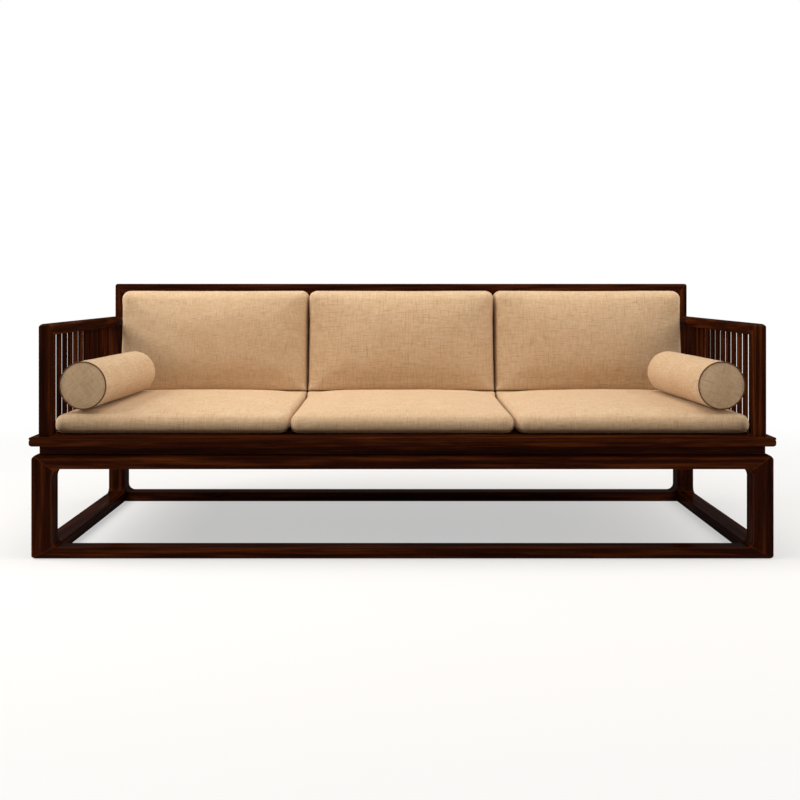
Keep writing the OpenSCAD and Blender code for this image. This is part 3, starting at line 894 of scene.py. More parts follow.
@dataclass
class Cushion:
    """A filled cushion whose cover wraps over its edges to one seam low on its sides.

    It is built lying on its back, with its near edge towards -Y, and then put in its place.

    Attributes:
        name: The finished piece's name.
        nodes: The CAD nodes that it stands for.
        body: The body that it rides on.
        size: Width and depth of the room that it fills, and its thickness at the near edge.
        far_thickness: Thickness at the far edge.
        crown: How far its face swells.
        shelf: Depth of the flat part of the face at the far edge.
        place: Takes it from where it is built to where it belongs.
        seed: Sets its folds and cloth apart from the others'.
        corner_radius: Radius of the far corners, seen on the face.
        near_corner_radius: Radius of the near corners.
        face_radius: Roundness of the edges between the face and the sides.
        back_radius: Roundness of the edges between the sides and the back.
        pull: How far the sides are drawn in between the corners.
        slack: How far inside its room the cover is cut at each side; below 0 it is cut larger.
        most_spread: How far the filling may push the sides out.
        evenness: Share of an even crown in the face's swell. The rest is the simulation's own.
        side_press: How squarely the sides press against the neighbours, from 0 to 1.
        foot_press: How squarely the near edge presses on what the cushion stands on, from 0 to 1.
        shelf_press: How squarely the shelf and its sides are pressed by what stands on it.
        press_reach: How far from a pressed side the cushion gives way.
        side_reach: How far the near edge may swell past the cushion's room.
        voxel: Cell of the remesh.
        pressure: Pressure of the filling.
        fill: Share of the cover that the filling takes up; not used.
        most_rise: The furthest that the filling pushes a point, as a share of the crown.
        side_fall: How late the face's swell falls off towards the sides; more is later.
        end_fall: The same towards the near and the far edge.
        shelf_fall: The same towards a shelf.
        draw_fall: How close to the edges the drawing in of the sides is felt; more is closer.
        held_reach: How far before the seam the hold on the back fades.
        shelf_fade: How far before and past the shelf's line the simulated swell ends.
        open_from: How far from the outline the unevenness starts to grow, and is full.
        edge_unevenness: Share of the unevenness at the outline.
        pucker_reach: How far from the seam the puckers fade.
        seam_depth: How deep the seam is sunk.
        seam_width: How far from the seam its groove reaches.
        side_press_from: How far behind the near edge the sides' pressing starts, and is full.
        shelf_blend: How far before and past its line the shelf's pressing grows.
        foot_reach: How far from the near edge its pressing ends.
        back_cloth: How far along the cloth the back is cut, in metres.
        cloth_step: How far apart the cloth of two cushions lies, for each step of their seeds.
        rest_on: Presses the face down under what lies on it.
    """

    name: str
    nodes: tuple[str, ...]
    body: str
    size: Triple
    far_thickness: float
    crown: float
    shelf: float
    place: Matrix
    seed: float
    corner_radius: float = 0.028
    near_corner_radius: float = 0.028
    face_radius: float = 0.026
    back_radius: float = 0.024
    pull: float = 0.004
    slack: float = -0.001
    most_spread: float = 0.003
    evenness: float = 0.6
    side_press: float = 0.0
    foot_press: float = 0.0
    shelf_press: float = 0.85
    press_reach: float = 0.04
    side_reach: float = 0.006
    voxel: float = 0.0065
    pressure: float = 4.0
    fill: float = 0.75
    most_rise: float = 1.4
    side_fall: float = 2.3
    end_fall: float = 2.6
    shelf_fall: float = 14.0
    draw_fall: int = 8
    held_reach: float = 0.010
    shelf_fade: tuple[float, float] = (0.03, 0.012)
    open_from: tuple[float, float] = (0.01, 0.09)
    edge_unevenness: float = 0.35
    pucker_reach: float = 0.016
    seam_depth: float = 0.0016
    seam_width: float = 0.0032
    side_press_from: tuple[float, float] = (0.01, 0.07)
    shelf_blend: float = 0.015
    foot_reach: float = 0.045
    back_cloth: float = 5.0
    cloth_step: float = 7.3
    rest_on: Callable[[np.ndarray], np.ndarray] | None = None

    def filled(self) -> bpy.types.Object:
        """Models and fills the plain cushion that others of its kind are copied from.

        Returns:
            The filled form, with no seams or cloth yet.
        """
        form = self.cut_block()
        self.draw_in(form)
        self.swell_by_cloth(form)
        return form

    def build(self, form: bpy.types.Object, form_width: float) -> bpy.types.Object:
        """Copies a filled form, then sews, settles and dresses the copy as this cushion.

        Args:
            form: The filled form of a cushion of this kind.
            form_width: That cushion's width.

        Returns:
            The finished piece.
        """
        piece = copy_of(form, self.name)
        widen = np.array([self.size[0] / form_width, 1.0, 1.0])
        move_points(piece, points_of(piece) * widen)
        keep_attribute(piece, REST_PLACE, kept_vectors(piece, REST_PLACE) * widen)
        self.crumple(piece)
        apply_modifier(piece, "SUBSURF", levels=1, render_levels=1)
        self.sew(piece)
        self.settle(piece)
        self.lay_cloth(piece)
        cloth = SlubLinen(seed=self.seed * self.cloth_step)
        put_in_place(piece, self.place, cloth.dress(self.name))
        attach(piece, self.body)
        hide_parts(*self.nodes)
        return piece

    @property
    def cut(self) -> np.ndarray:
        """Width and depth as cut, before the filling swells the sides."""
        return np.array(self.size[:2]) - 2 * self.slack

    def top_at(self, y: np.ndarray | float) -> np.ndarray | float:
        """Height of the face's edge at a depth."""
        share = y / self.cut[1] + 0.5
        return self.size[2] + (self.far_thickness - self.size[2]) * share

    def cut_block(self) -> bpy.types.Object:
        """Makes the cushion's plain block with its rounded corners and boxed edges.

        Returns:
            The remeshed block.
        """
        width, depth = self.cut
        near = self.size[2]
        lone()
        bpy.ops.mesh.primitive_cube_add(size=1.0, location=(0.0, 0.0, 0.0))
        piece = bpy.context.active_object
        piece.name = f"{self.name}_form"
        bpy.ops.object.mode_set(mode="EDIT")
        bpy.ops.mesh.select_all(action="SELECT")
        bpy.ops.transform.translate(value=(0.0, 0.0, 0.5))
        bpy.ops.transform.resize(value=(width, depth, near), center_override=(0.0, 0.0, 0.0))
        pick(piece, "VERT", lambda p: p.y > 0 and p.z > near / 2)
        bpy.ops.transform.translate(value=(0.0, 0.0, self.far_thickness - near))
        for end, radius in ((-depth / 2, self.near_corner_radius), (depth / 2, self.corner_radius)):
            pick(
                piece,
                "EDGE",
                lambda p, y=end: abs(p.y - y) < TOUCHING,
                lambda ends: abs(ends[0].x - ends[1].x) < TOUCHING,
            )
            bpy.ops.mesh.bevel(offset=radius, segments=6, affect="EDGES")
        pick(piece, "EDGE", lambda p: p.z > self.top_at(p.y) - 10 * TOUCHING)
        bpy.ops.mesh.bevel(offset=self.face_radius, segments=5, affect="EDGES")
        pick(piece, "EDGE", lambda p: p.z < 10 * TOUCHING)
        bpy.ops.mesh.bevel(offset=self.back_radius, segments=4, affect="EDGES")
        bpy.ops.mesh.select_all(action="SELECT")
        bpy.ops.mesh.normals_make_consistent(inside=False)
        bpy.ops.object.mode_set(mode="OBJECT")
        apply_modifier(piece, "REMESH", mode="VOXEL", voxel_size=self.voxel)
        keep_attribute(piece, REST_PLACE, points_of(piece))
        return piece

    def inside(self, rest: np.ndarray) -> np.ndarray:
        """Finds how far points lie inside the cushion's outline, seen on its face.

        Args:
            rest: The points' places before the swell.

        Returns:
            One distance for each point.
        """
        radius = np.where(rest[:, 1] < 0, self.near_corner_radius, self.corner_radius)
        past = np.abs(rest[:, :2]) - self.cut / 2 + radius[:, None]
        return radius - np.hypot(*np.maximum(past, 0.0).T) - np.minimum(past.max(axis=1), 0.0)

    def edges(self, rest: np.ndarray) -> tuple[np.ndarray, np.ndarray]:
        """Finds how far points lie from the two edges round the sides.

        Args:
            rest: The points' places before the swell.

        Returns:
            Distances from the face's edge, above 0 on the face, and from the back's seam, above 0
            on the back.
        """
        inside = self.inside(rest)
        below = self.top_at(rest[:, 1]) - rest[:, 2]
        upper = rest[:, 2] > below
        face = np.where(upper, (inside - below) / math.sqrt(2.0), -below)
        back = np.where(upper, -rest[:, 2], (inside - rest[:, 2]) / math.sqrt(2.0))
        return face, back

    def swell_share(self, rest: np.ndarray) -> np.ndarray:
        """Finds the share of the crown at each point, nothing at the edges and on the shelf.

        Args:
            rest: The points' places before the swell.

        Returns:
            One share for each point. Before a shelf it falls steeply, and elsewhere gently.
        """
        width, depth = self.cut
        across = np.clip(np.abs(rest[:, 0]) / (width / 2 - self.face_radius), 0.0, 1.0)
        deep = (rest[:, 1] + depth / 2) / (depth - self.shelf) * 2.0 - 1.0
        deep = np.clip(np.abs(deep), 0.0, 1.0)
        to_shelf = (self.shelf > 0) & (rest[:, 1] > 0)
        fall = np.where(to_shelf, self.shelf_fall, self.end_fall)
        return (1.0 - across**self.side_fall) * (1.0 - deep**fall)

    def draw_in(self, piece: bpy.types.Object) -> None:
        """Draws the sides in between the corners.

        Args:
            piece: The plain block.
        """
        points = points_of(piece)
        u, v = (points[:, :2] / (self.cut / 2)).T
        points[:, 0] -= np.sign(u) * self.pull * np.abs(u) ** self.draw_fall * (1 - v * v).clip(0)
        points[:, 1] -= np.sign(v) * self.pull * np.abs(v) ** self.draw_fall * (1 - u * u).clip(0)
        move_points(piece, points)

    def swell_by_cloth(self, piece: bpy.types.Object) -> None:
        """Fills the cover with its back held, then brings the swell to the crown's height.

        Args:
            piece: The block with its sides drawn in.
        """
        rest = kept_vectors(piece, REST_PLACE)
        before = points_of(piece)
        face, back = self.edges(rest)
        held = np.where(back > 0, 1.0, np.clip(1.0 + back / self.held_reach, 0.0, 1.0))
        cap = self.crown * self.most_rise
        filling = Filling(self.pressure, stiffness=12.0, bending=0.6, cap=cap)
        moved = filling.swell(piece, held)
        # The few points that moved furthest don't count as the face's and the sides' swell.
        peak = float(np.percentile(moved[face > 0.004, 2], 99))
        wide = np.hypot(moved[:, 0], moved[:, 1])
        spread = float(np.percentile(wide[(face < 0) & (back < -0.01)], 90))
        risen = (peak * 1e3, spread * 1e3)
        log.info("%s: the face rose %.1f mm, the sides %.1f mm", self.name, *risen)
        upper = smooth_step(rest[:, 2] / self.top_at(rest[:, 1]), 0.35, 0.95)
        moved[:, 2] *= 1.0 + (self.crown / peak - 1.0) * upper
        moved[:, :2] *= min(1.0, self.most_spread / spread)
        if self.shelf > 0:
            shelf_line = self.size[1] / 2 - self.shelf
            before_line, past_line = self.shelf_fade
            on_shelf = smooth_step(rest[:, 1], shelf_line - before_line, shelf_line + past_line)
            moved[:, 2] *= 1.0 - on_shelf
        even = self.crown * self.swell_share(rest)
        moved[:, 2] += (even - moved[:, 2]) * self.evenness * upper
        move_points(piece, before + moved)

    def crumple(self, piece: bpy.types.Object) -> None:
        """Adds the soft unevenness of a used filling, and the puckers beside the seam.

        Args:
            piece: The filled cover, at its own width.
        """
        rest = kept_vectors(piece, REST_PLACE)
        _, back = self.edges(rest)
        # A used filling is uneven where the cover is free, less so beside its edges.
        open_face = smooth_step(self.inside(rest), *self.open_from)
        share = self.edge_unevenness + (1.0 - self.edge_unevenness) * open_face
        uneven = ripple(rest, USED_CUSHION, self.seed) * share
        pucker = ripple(rest * np.array([1.0, 1.0, 0.0]), SEAM_PUCKERS, self.seed)
        pucker *= np.exp(-np.abs(back) / self.pucker_reach)
        shift = np.where(back > 0, 0.0, uneven + pucker)
        move_points(piece, points_of(piece) + normals_of(piece) * shift[:, None])

    def sew(self, piece: bpy.types.Object) -> None:
        """Sinks the seam into the cover and keeps the distance from it for the cloth.

        Args:
            piece: The cover.
        """
        _, back = self.edges(kept_vectors(piece, REST_PLACE))
        sink = self.seam_depth * np.exp(-((back / self.seam_width) ** 2))
        move_points(piece, points_of(piece) - normals_of(piece) * sink[:, None])
        keep_attribute(piece, SEAM_DISTANCE, np.abs(back))

    def settle(self, piece: bpy.types.Object) -> None:
        """Flattens the cushion where it rests, meets a neighbour or carries something.

        Args:
            piece: The sewn cover.
        """
        points = points_of(piece)
        width, depth, _ = self.size
        near, shelf_line = -depth / 2, depth / 2 - self.shelf
        side, y = np.sign(points[:, 0]), points[:, 1].copy()

        def square_sides(share: np.ndarray) -> None:
            """Draws both sides out to the cushion's width."""
            out = np.abs(points[:, 0])
            points[:, 0] = side * squeezed(out, width / 2, self.press_reach, share)

        start, full = self.side_press_from
        square_sides(self.side_press * smooth_step(y, near + start, near + full))
        if self.shelf > 0:
            ends = (shelf_line - self.shelf_blend, shelf_line + self.shelf_blend)
            loaded = self.shelf_press * smooth_step(y, *ends)
            square_sides(loaded)
            upper = smooth_step(points[:, 2] / self.far_thickness, 0.4, 0.6)
            top, share = self.far_thickness, loaded * upper
            points[:, 2] = squeezed(points[:, 2], top, self.press_reach, share)
        if self.foot_press > 0:
            square_sides(self.foot_press * (1.0 - smooth_step(y, near, near + self.foot_reach)))
            points[:, 1] = -squeezed(-y, depth / 2, self.foot_reach, self.foot_press)
        points[:, 0] = np.clip(points[:, 0], -width / 2, width / 2)
        points[:, 1] = np.clip(points[:, 1], near - self.side_reach, depth / 2)
        points[:, 2] = np.maximum(points[:, 2], 0.0)
        if self.rest_on is not None:
            points = self.rest_on(points)
        move_points(piece, points)

    def lay_cloth(self, piece: bpy.types.Object) -> None:
        """Lays the weave over the face and down the four sides, as the cover was cut.

        Args:
            piece: The cover, where it was built.
        """
        rest = kept_vectors(piece, REST_PLACE)
        corners = face_points(piece)
        middle = rest[corners].mean(axis=1)
        below = self.top_at(rest[:, 1]) - rest[:, 2]
        past_x, past_y = (np.abs(middle[:, :2]) - self.cut / 2).T
        out_x = np.where(past_x > past_y, np.sign(middle[:, 0]), 0.0)
        out_y = np.where(past_x > past_y, 0.0, np.sign(middle[:, 1]))
        under = self.edges(rest)[1][corners].mean(axis=1) > 0
        drop = np.where(under[:, None], 0.0, below[corners])
        u = rest[:, 0][corners] + out_x[:, None] * drop
        v = rest[:, 1][corners] + out_y[:, None] * drop + under[:, None] * self.back_cloth
        map_cloth(piece, np.stack([u, v], axis=-1))


# Bolsters


@dataclass
class Bolster:
    """A round bolster with piping round both ends, lying along the axis of its CAD core.

    Attributes:
        side: left or right.
        cap_turn: Angle of the weave on its ends, in degrees.
        seed: Sets its folds and cloth apart from the other's.
        near_lean: Where the near end's piping sits on the rounded edge, in degrees from the side.
        far_lean: The same at the far end, whose piping the body hides from the front.
        radius: Radius of the cover.
        length: Length between its ends.
        bulge: How far the ends bulge.
        edge_radius: Roundness of the ends' edges.
        piping: Thickness of the piping.
        held_rim: How far from an end's edge the cover is held while it is filled.
        rounds: Points round the bolster.
        rows: Cuts along it.
        end_rings: Rings on each end.
        outer_ring: Width of an end's outermost ring, as a share of the radius.
        other_rings: Width of its other rings.
        dome: How fast an end rises from ring to ring.
        pucker_reach: How far from an end's edge the puckers fade.
        uneven_from: How far from an end's edge the unevenness starts, and is full.
        seam_depth: How deep the cover is sunk beside the piping.
        seam_width: Width of that groove.
        far_cloth: How far along the cloth the far end is cut, in metres.
        cloth_step: How far apart the cloth of two bolsters lies, for each step of their seeds.
    """

    side: str
    cap_turn: float
    seed: float
    radius: float = 0.073
    length: float = 0.515
    bulge: float = 0.005
    edge_radius: float = 0.005
    piping: float = 0.0038
    near_lean: float = 45.0
    far_lean: float = 75.0
    held_rim: float = 0.012
    rounds: int = 128
    rows: int = 90
    end_rings: int = 8
    outer_ring: float = 0.10
    other_rings: float = 0.115
    dome: float = 2.2
    pucker_reach: float = 0.014
    uneven_from: tuple[float, float] = (0.004, 0.05)
    seam_depth: float = 0.0012
    seam_width: float = 0.004
    far_cloth: float = 2.0
    cloth_step: float = 5.1

    def axis(self) -> tuple[Vector, Vector]:
        """Finds the bolster's line from its CAD core.

        Returns:
            The middle of the near end, and the direction from there to the far end.
        """
        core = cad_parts[f"bolster_core_{self.side}"]
        points = points_of(core)
        middle = (points.max(axis=0) + points.min(axis=0)) / 2
        spread = np.linalg.svd(points - points.mean(axis=0), full_matrices=False)[2][0]
        along = Vector(spread if spread[1] > 0 else -spread).normalized()
        return Vector(middle) - along * (self.length / 2), along

    def place(self) -> Matrix:
        """Finds where the bolster lies.

        Returns:
            The matrix that takes it there from upright at the origin.
        """
        near, along = self.axis()
        turn = Vector((0.0, 0.0, 1.0)).rotation_difference(along).to_matrix().to_4x4()
        return Matrix.Translation(near) @ turn

    def filled(self) -> bpy.types.Object:
        """Models and fills the plain bolster that both are copied from.

        Returns:
            The filled form, upright at the origin.
        """
        form = self.turn_cover()
        self.fill_by_cloth(form)
        return form

    def build(self, form: bpy.types.Object) -> tuple[bpy.types.Object, bpy.types.Object]:
        """Copies the filled form, dresses the copy and winds its piping.

        Args:
            form: The filled form.

        Returns:
            The cover and the piping.
        """
        name = f"bolster_{self.side}_cover"
        cover = copy_of(form, name)
        self.crumple(cover)
        ends = self.lay_cloth(cover)
        seed = self.seed * self.cloth_step
        body_cloth = SlubLinen(seed=seed).dress(name)
        end_cloth = SlubLinen(seed=seed, turn=self.cap_turn).dress(f"{name}_end")
        put_in_place(cover, self.place(), body_cloth, end_cloth)
        cover.data.polygons.foreach_set("material_index", ends)
        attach(cover, f"bolster_{self.side}")
        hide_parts(f"bolster_{self.side}", f"bolster_core_{self.side}")
        return cover, self.wind_piping()

    def turn_cover(self) -> bpy.types.Object:
        """Models the cover upright: a cylinder with domed ends and rounded end edges.

        Returns:
            The cover.
        """
        lone()
        bpy.ops.mesh.primitive_cylinder_add(
            vertices=self.rounds,
            radius=self.radius,
            depth=self.length,
            location=(0.0, 0.0, self.length / 2),
        )
        piece = bpy.context.active_object
        piece.name = "bolster_form"
        bpy.ops.object.transform_apply(location=True, rotation=True, scale=True)
        bpy.ops.object.mode_set(mode="EDIT")
        for end, outward in ((0.0, -1.0), (self.length, 1.0)):
            pick(piece, "FACE", lambda p, z=end: abs(p.z - z) < TOUCHING)
            reach = self.radius
            for ring in range(self.end_rings):
                step = self.radius * (self.outer_ring if ring == 0 else self.other_rings)
                bpy.ops.mesh.inset(thickness=step, depth=0.0)
                rise = self.bulge * (step / self.radius) * self.dome * (reach / self.radius)
                lift = 0.0 if ring == 0 else outward * rise
                bpy.ops.transform.translate(value=(0.0, 0.0, lift))
                reach -= step
            bpy.ops.mesh.poke()
            pick(
                piece,
                "EDGE",
                lambda p, z=end: abs(p.z - z) < TOUCHING and p.to_2d().length > self.radius - 1e-4,
            )
            bpy.ops.mesh.bevel(offset=self.edge_radius, segments=5, affect="EDGES")
        pick(
            piece,
            "EDGE",
            lambda p: True,
            lambda ends: (ends[0] - ends[1]).length > self.length * 0.8,
        )
        bpy.ops.mesh.subdivide(number_cuts=self.rows)
        bpy.ops.mesh.select_all(action="SELECT")
        bpy.ops.mesh.normals_make_consistent(inside=False)
        bpy.ops.object.mode_set(mode="OBJECT")
        keep_attribute(piece, REST_PLACE, points_of(piece))
        return piece

    def fill_by_cloth(self, piece: bpy.types.Object) -> None:
        """Fills the cover with its ends' edges held by the piping.

        Args:
            piece: The plain cover.
        """
        before = points_of(piece)
        out = np.hypot(before[:, 0], before[:, 1])
        from_end = np.minimum(np.abs(before[:, 2]), np.abs(self.length - before[:, 2]))
        rim = (from_end < self.held_rim) & (out > self.radius - self.held_rim)
        filling = Filling(pressure=3.0, stiffness=25.0, bending=0.8, cap=0.0016)
        move_points(piece, before + filling.swell(piece, rim.astype(float)))

    def crumple(self, piece: bpy.types.Object) -> None:
        """Adds soft unevenness and the puckers at the piping. No seam shows on a bolster.

        Args:
            piece: The filled cover.
        """
        rest = kept_vectors(piece, REST_PLACE)
        out = np.hypot(rest[:, 0], rest[:, 1])
        from_end = np.minimum(rest[:, 2], self.length - rest[:, 2])
        rim = np.hypot(self.radius - out, np.maximum(from_end, 0.0))
        pucker = self.round_the_rims(rest, RIM_PUCKERS) * np.exp(-rim / self.pucker_reach)
        uneven = ripple(rest, USED_BOLSTER, self.seed) * smooth_step(rim, *self.uneven_from)
        shift = uneven + pucker
        sink = self.seam_depth * np.exp(-(((rim - self.seam_width) / self.seam_width) ** 2))
        move_points(piece, points_of(piece) + normals_of(piece) * (shift - sink)[:, None])
        keep_attribute(piece, SEAM_DISTANCE, np.full(len(rest), 1.0))

    def round_the_rims(self, points: np.ndarray, waves: Waves) -> np.ndarray:
        """Finds waves that run round the edges of both ends.

        Args:
            points: Places on the bolster, upright at the origin.
            waves: The waves.

        Returns:
            One height for each point.
        """
        angle = np.arctan2(points[:, 1], points[:, 0])
        end = np.sign(points[:, 2] - self.length / 2)
        ring = np.column_stack([np.cos(angle), np.sin(angle), end])
        return ripple(ring * self.radius, waves, self.seed)

    def lay_cloth(self, piece: bpy.types.Object) -> np.ndarray:
        """Lays the weave round the body and flat on the ends.

        Args:
            piece: The cover, upright at the origin.

        Returns:
            The number of each face's material: 0 on the body and 1 on the ends.
        """
        mesh = piece.data
        rest = kept_vectors(piece, REST_PLACE)
        loops = np.empty(len(mesh.loops), dtype=np.int32)
        mesh.loops.foreach_get("vertex_index", loops)
        angle = np.arctan2(rest[:, 1], rest[:, 0])
        out = np.hypot(rest[:, 0], rest[:, 1])
        end_height, end_radius = self.edge_radius * 0.35, self.radius - self.edge_radius * 0.25
        uv = np.empty((len(loops), 2))
        ends = np.zeros(len(mesh.polygons), dtype=np.int32)
        for polygon in mesh.polygons:
            own = slice(polygon.loop_start, polygon.loop_start + polygon.loop_total)
            index = loops[own]
            height = rest[index, 2].mean()
            if min(height, self.length - height) < end_height and out[index].max() < end_radius:
                uv[own] = rest[index, :2] + (self.far_cloth if height > self.length / 2 else 0.0)
                ends[polygon.index] = 1
            else:
                around = unwrap_turn(angle[index][None, :], 2 * math.pi)[0]
                uv[own] = np.column_stack([around * self.radius, rest[index, 2]])
        map_cloth(piece, uv)
        return ends

    def piping_line(self, far: bool) -> tuple[float, float]:
        """Finds the line of one ring of piping, upright at the origin.

        Args:
            far: Whether it is the far end's ring.

        Returns:
            The ring's radius and its height.
        """
        lean = math.radians(self.far_lean if far else self.near_lean)
        inset = self.edge_radius * (1 - math.sin(lean))
        ring_radius = self.radius - self.edge_radius * (1 - math.cos(lean))
        return ring_radius, self.length - inset if far else inset

    def wind_piping(self) -> bpy.types.Object:
        """Makes the two rings of piping as one piece.

        Returns:
            The piping.
        """
        rings: list[bpy.types.Object] = []
        for far in (False, True):
            ring_radius, height = self.piping_line(far)
            lone()
            bpy.ops.mesh.primitive_torus_add(
                major_radius=ring_radius,
                minor_radius=self.piping / 2,
                major_segments=self.rounds,
                minor_segments=14,
                location=(0.0, 0.0, height),
            )
            rings.append(bpy.context.active_object)
        for ring in rings:
            ring.select_set(True)
        bpy.ops.object.join()
        piece = bpy.context.active_object
        piece.name = f"bolster_{self.side}_piping"
        bpy.ops.object.transform_apply(location=True, rotation=True, scale=True)
        self.map_piping(piece)
        points = points_of(piece)
        wave = self.round_the_rims(points, WOUND_CORD)
        move_points(piece, points + normals_of(piece) * wave[:, None])
        put_in_place(piece, self.place(), CordedPiping().dress(piece.name))
        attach(piece, f"bolster_{self.side}")
        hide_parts(f"bolster_piping_{self.side}")
        return piece

    def map_piping(self, piece: bpy.types.Object) -> None:
        """Lays the cloth of the piping round its cord.

        Args:
            piece: The two rings, upright at the origin.
        """
        for layer in list(piece.data.uv_layers):
            piece.data.uv_layers.remove(layer)
        points = points_of(piece)
        corners = face_points(piece)
        angle = np.arctan2(points[:, 1], points[:, 0])
        far = points[:, 2:] > self.length / 2
        line = np.where(far, self.piping_line(True), self.piping_line(False))
        out = np.hypot(points[:, 0], points[:, 1]) - line[:, 0]
        round_cord = np.arctan2(points[:, 2] - line[:, 1], out)
        u = unwrap_turn(angle[corners], 2 * math.pi) * self.radius
        v = unwrap_turn(round_cord[corners], 2 * math.pi) * self.piping / 2
        map_cloth(piece, np.stack([u, v], axis=-1))


@dataclass
class Upholstery:
    """All the loose cushions: three on the seat, three against the back and two bolsters.

    Attributes:
        seat_front: Thickness of a seat cushion at its front edge.
        seat_rear: Thickness of a seat cushion at its rear edge, under the back cushion.
        seat_reach: How far the outer seat cushions' soft sides bulge between the arm posts.
        back_foot: Thickness of a back cushion at its foot.
        back_top: Thickness of a back cushion at its top edge.
        back_crown: How far a back cushion's face swells.
        back_reach: How far the outer back cushions' soft sides bulge beyond the CAD cushions.
        shelf: Depth of the seat cushions' part under the back cushions.
        bolster_clearance: Room between a bolster and the hollow that it presses.
        bolster_ends: How far the hollow runs on past a bolster's ends.
        seat_seed: Seed of the first seat cushion, and of the form that all three are copied from.
        back_seed: The same for the back cushions.
        seed_step: From one cushion's seed to the next.
        bolsters: The two bolsters.
    """

    seat_front: float = 0.057
    seat_rear: float = 0.064
    seat_reach: float = 0.0115
    back_foot: float = 0.147
    back_top: float = 0.108
    back_crown: float = 0.037
    back_reach: float = 0.010
    shelf: float = 0.166
    bolster_clearance: float = 0.0012
    bolster_ends: float = 0.004
    seat_seed: float = 2.0
    back_seed: float = 57.0
    seed_step: int = 11
    bolsters: tuple[Bolster, Bolster] = (
        Bolster("left", cap_turn=38.0, seed=3.0),
        Bolster("right", cap_turn=62.0, seed=8.0),
    )

    def pressed(self, middle: Vector, top: float) -> Callable[[np.ndarray], np.ndarray]:
        """Presses a seat cushion's face down under the bolsters and the back cushion.

        Args:
            middle: Where the cushion's own origin lies in the whole object.
            top: Height of its edge above that origin.

        Returns:
            A function that moves the cushion's points.
        """
        lines = [(bolster, *bolster.axis()) for bolster in self.bolsters]

        def press(points: np.ndarray) -> np.ndarray:
            """Lowers the points that are under something.

            Args:
                points: The cushion's points from its own origin.

            Returns:
                The moved points.
            """
            for bolster, near, along in lines:
                flat = np.array(along.xy.normalized())
                offset = points[:, :2] + np.array((middle - near).xy)
                run, aside = offset @ flat, offset @ np.array([-flat[1], flat[0]])
                radius = bolster.radius + self.bolster_clearance
                under = (np.abs(aside) < radius) & (points[:, 2] > top / 2)
                under &= (run > -self.bolster_ends) & (run < bolster.length + self.bolster_ends)
                drop = np.sqrt(np.maximum(radius**2 - aside**2, 0.0))
                limit = near.z + along.z * run - drop - middle.z
                points[:, 2] = np.where(under, np.minimum(points[:, 2], limit), points[:, 2])
            on_shelf = points[:, 1] > self.shelf_front - middle.y
            points[:, 2] = np.where(on_shelf, np.minimum(points[:, 2], top), points[:, 2])
            return points

        return press

    @property
    def shelf_front(self) -> float:
        """Where the part of the seat cushions under the back cushions starts."""
        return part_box("seat_cushion_middle")[1].y - self.shelf

    def seat(self, side: str, seed: float) -> Cushion:
        """Lays out one seat cushion.

        Args:
            side: left, middle or right.
            seed: Sets its folds and cloth apart.

        Returns:
            The cushion, ready to build.
        """
        low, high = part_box(f"seat_cushion_{side}")
        low.x -= self.seat_reach if side == "left" else 0.0
        high.x += self.seat_reach if side == "right" else 0.0
        middle = Vector(((low.x + high.x) / 2, (low.y + high.y) / 2, low.z))
        return Cushion(
            name=f"seat_cushion_{side}_cover",
            nodes=(f"seat_cushion_{side}", f"seat_foam_{side}"),
            body=f"seat_{side}",
            size=(high.x - low.x, high.y - low.y, self.seat_front),
            far_thickness=self.seat_rear,
            crown=high.z - low.z - (self.seat_front + self.seat_rear) / 2,
            shelf=self.shelf,
            place=Matrix.Translation(middle),
            seed=seed,
            near_corner_radius=0.038,
            voxel=0.0073,
            pull=0.0025,
            side_press=0.5,
            rest_on=self.pressed(middle, self.seat_rear),
        )

    def back(self, side: str, seed: float) -> Cushion:
        """Lays out one back cushion.

        Args:
            side: left, middle or right.
            seed: Sets its folds and cloth apart.

        Returns:
            The cushion, ready to build.
        """
        low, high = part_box(f"back_cushion_{side}")
        low.x -= self.back_reach if side == "left" else 0.0
        high.x += self.back_reach if side == "right" else 0.0
        middle = Vector(((low.x + high.x) / 2, high.y, (low.z + high.z) / 2))
        return Cushion(
            name=f"back_cushion_{side}_cover",
            nodes=(f"back_cushion_{side}", f"back_foam_{side}"),
            body=f"back_{side}",
            size=(high.x - low.x, high.z - low.z, self.back_foot),
            far_thickness=self.back_top,
            crown=self.back_crown,
            shelf=0.0,
            place=Matrix.Translation(middle) @ Matrix.Rotation(math.radians(90), 4, "X"),
            seed=seed,
            corner_radius=0.029,
            near_corner_radius=0.008,
            face_radius=0.028,
            back_radius=0.012,
            pull=0.002,
            side_reach=0.0,
            evenness=0.8,
            foot_press=0.8,
        )

    def build(self) -> None:
        """Builds every cushion and bolster and reports each."""
        for kind, seed in ((self.seat, self.seat_seed), (self.back, self.back_seed)):
            model = kind("middle", seed)
            form = model.filled()
            for number, side in enumerate(("left", "middle", "right")):
                piece = kind(side, seed + self.seed_step * number).build(form, model.size[0])
                log.info("%s: %d faces", piece.name, len(piece.data.polygons))
            bpy.data.objects.remove(form)
        form = self.bolsters[0].filled()
        for bolster in self.bolsters:
            for piece in bolster.build(form):
                log.info("%s: %d faces", piece.name, len(piece.data.polygons))
        bpy.data.objects.remove(form)


# Studio


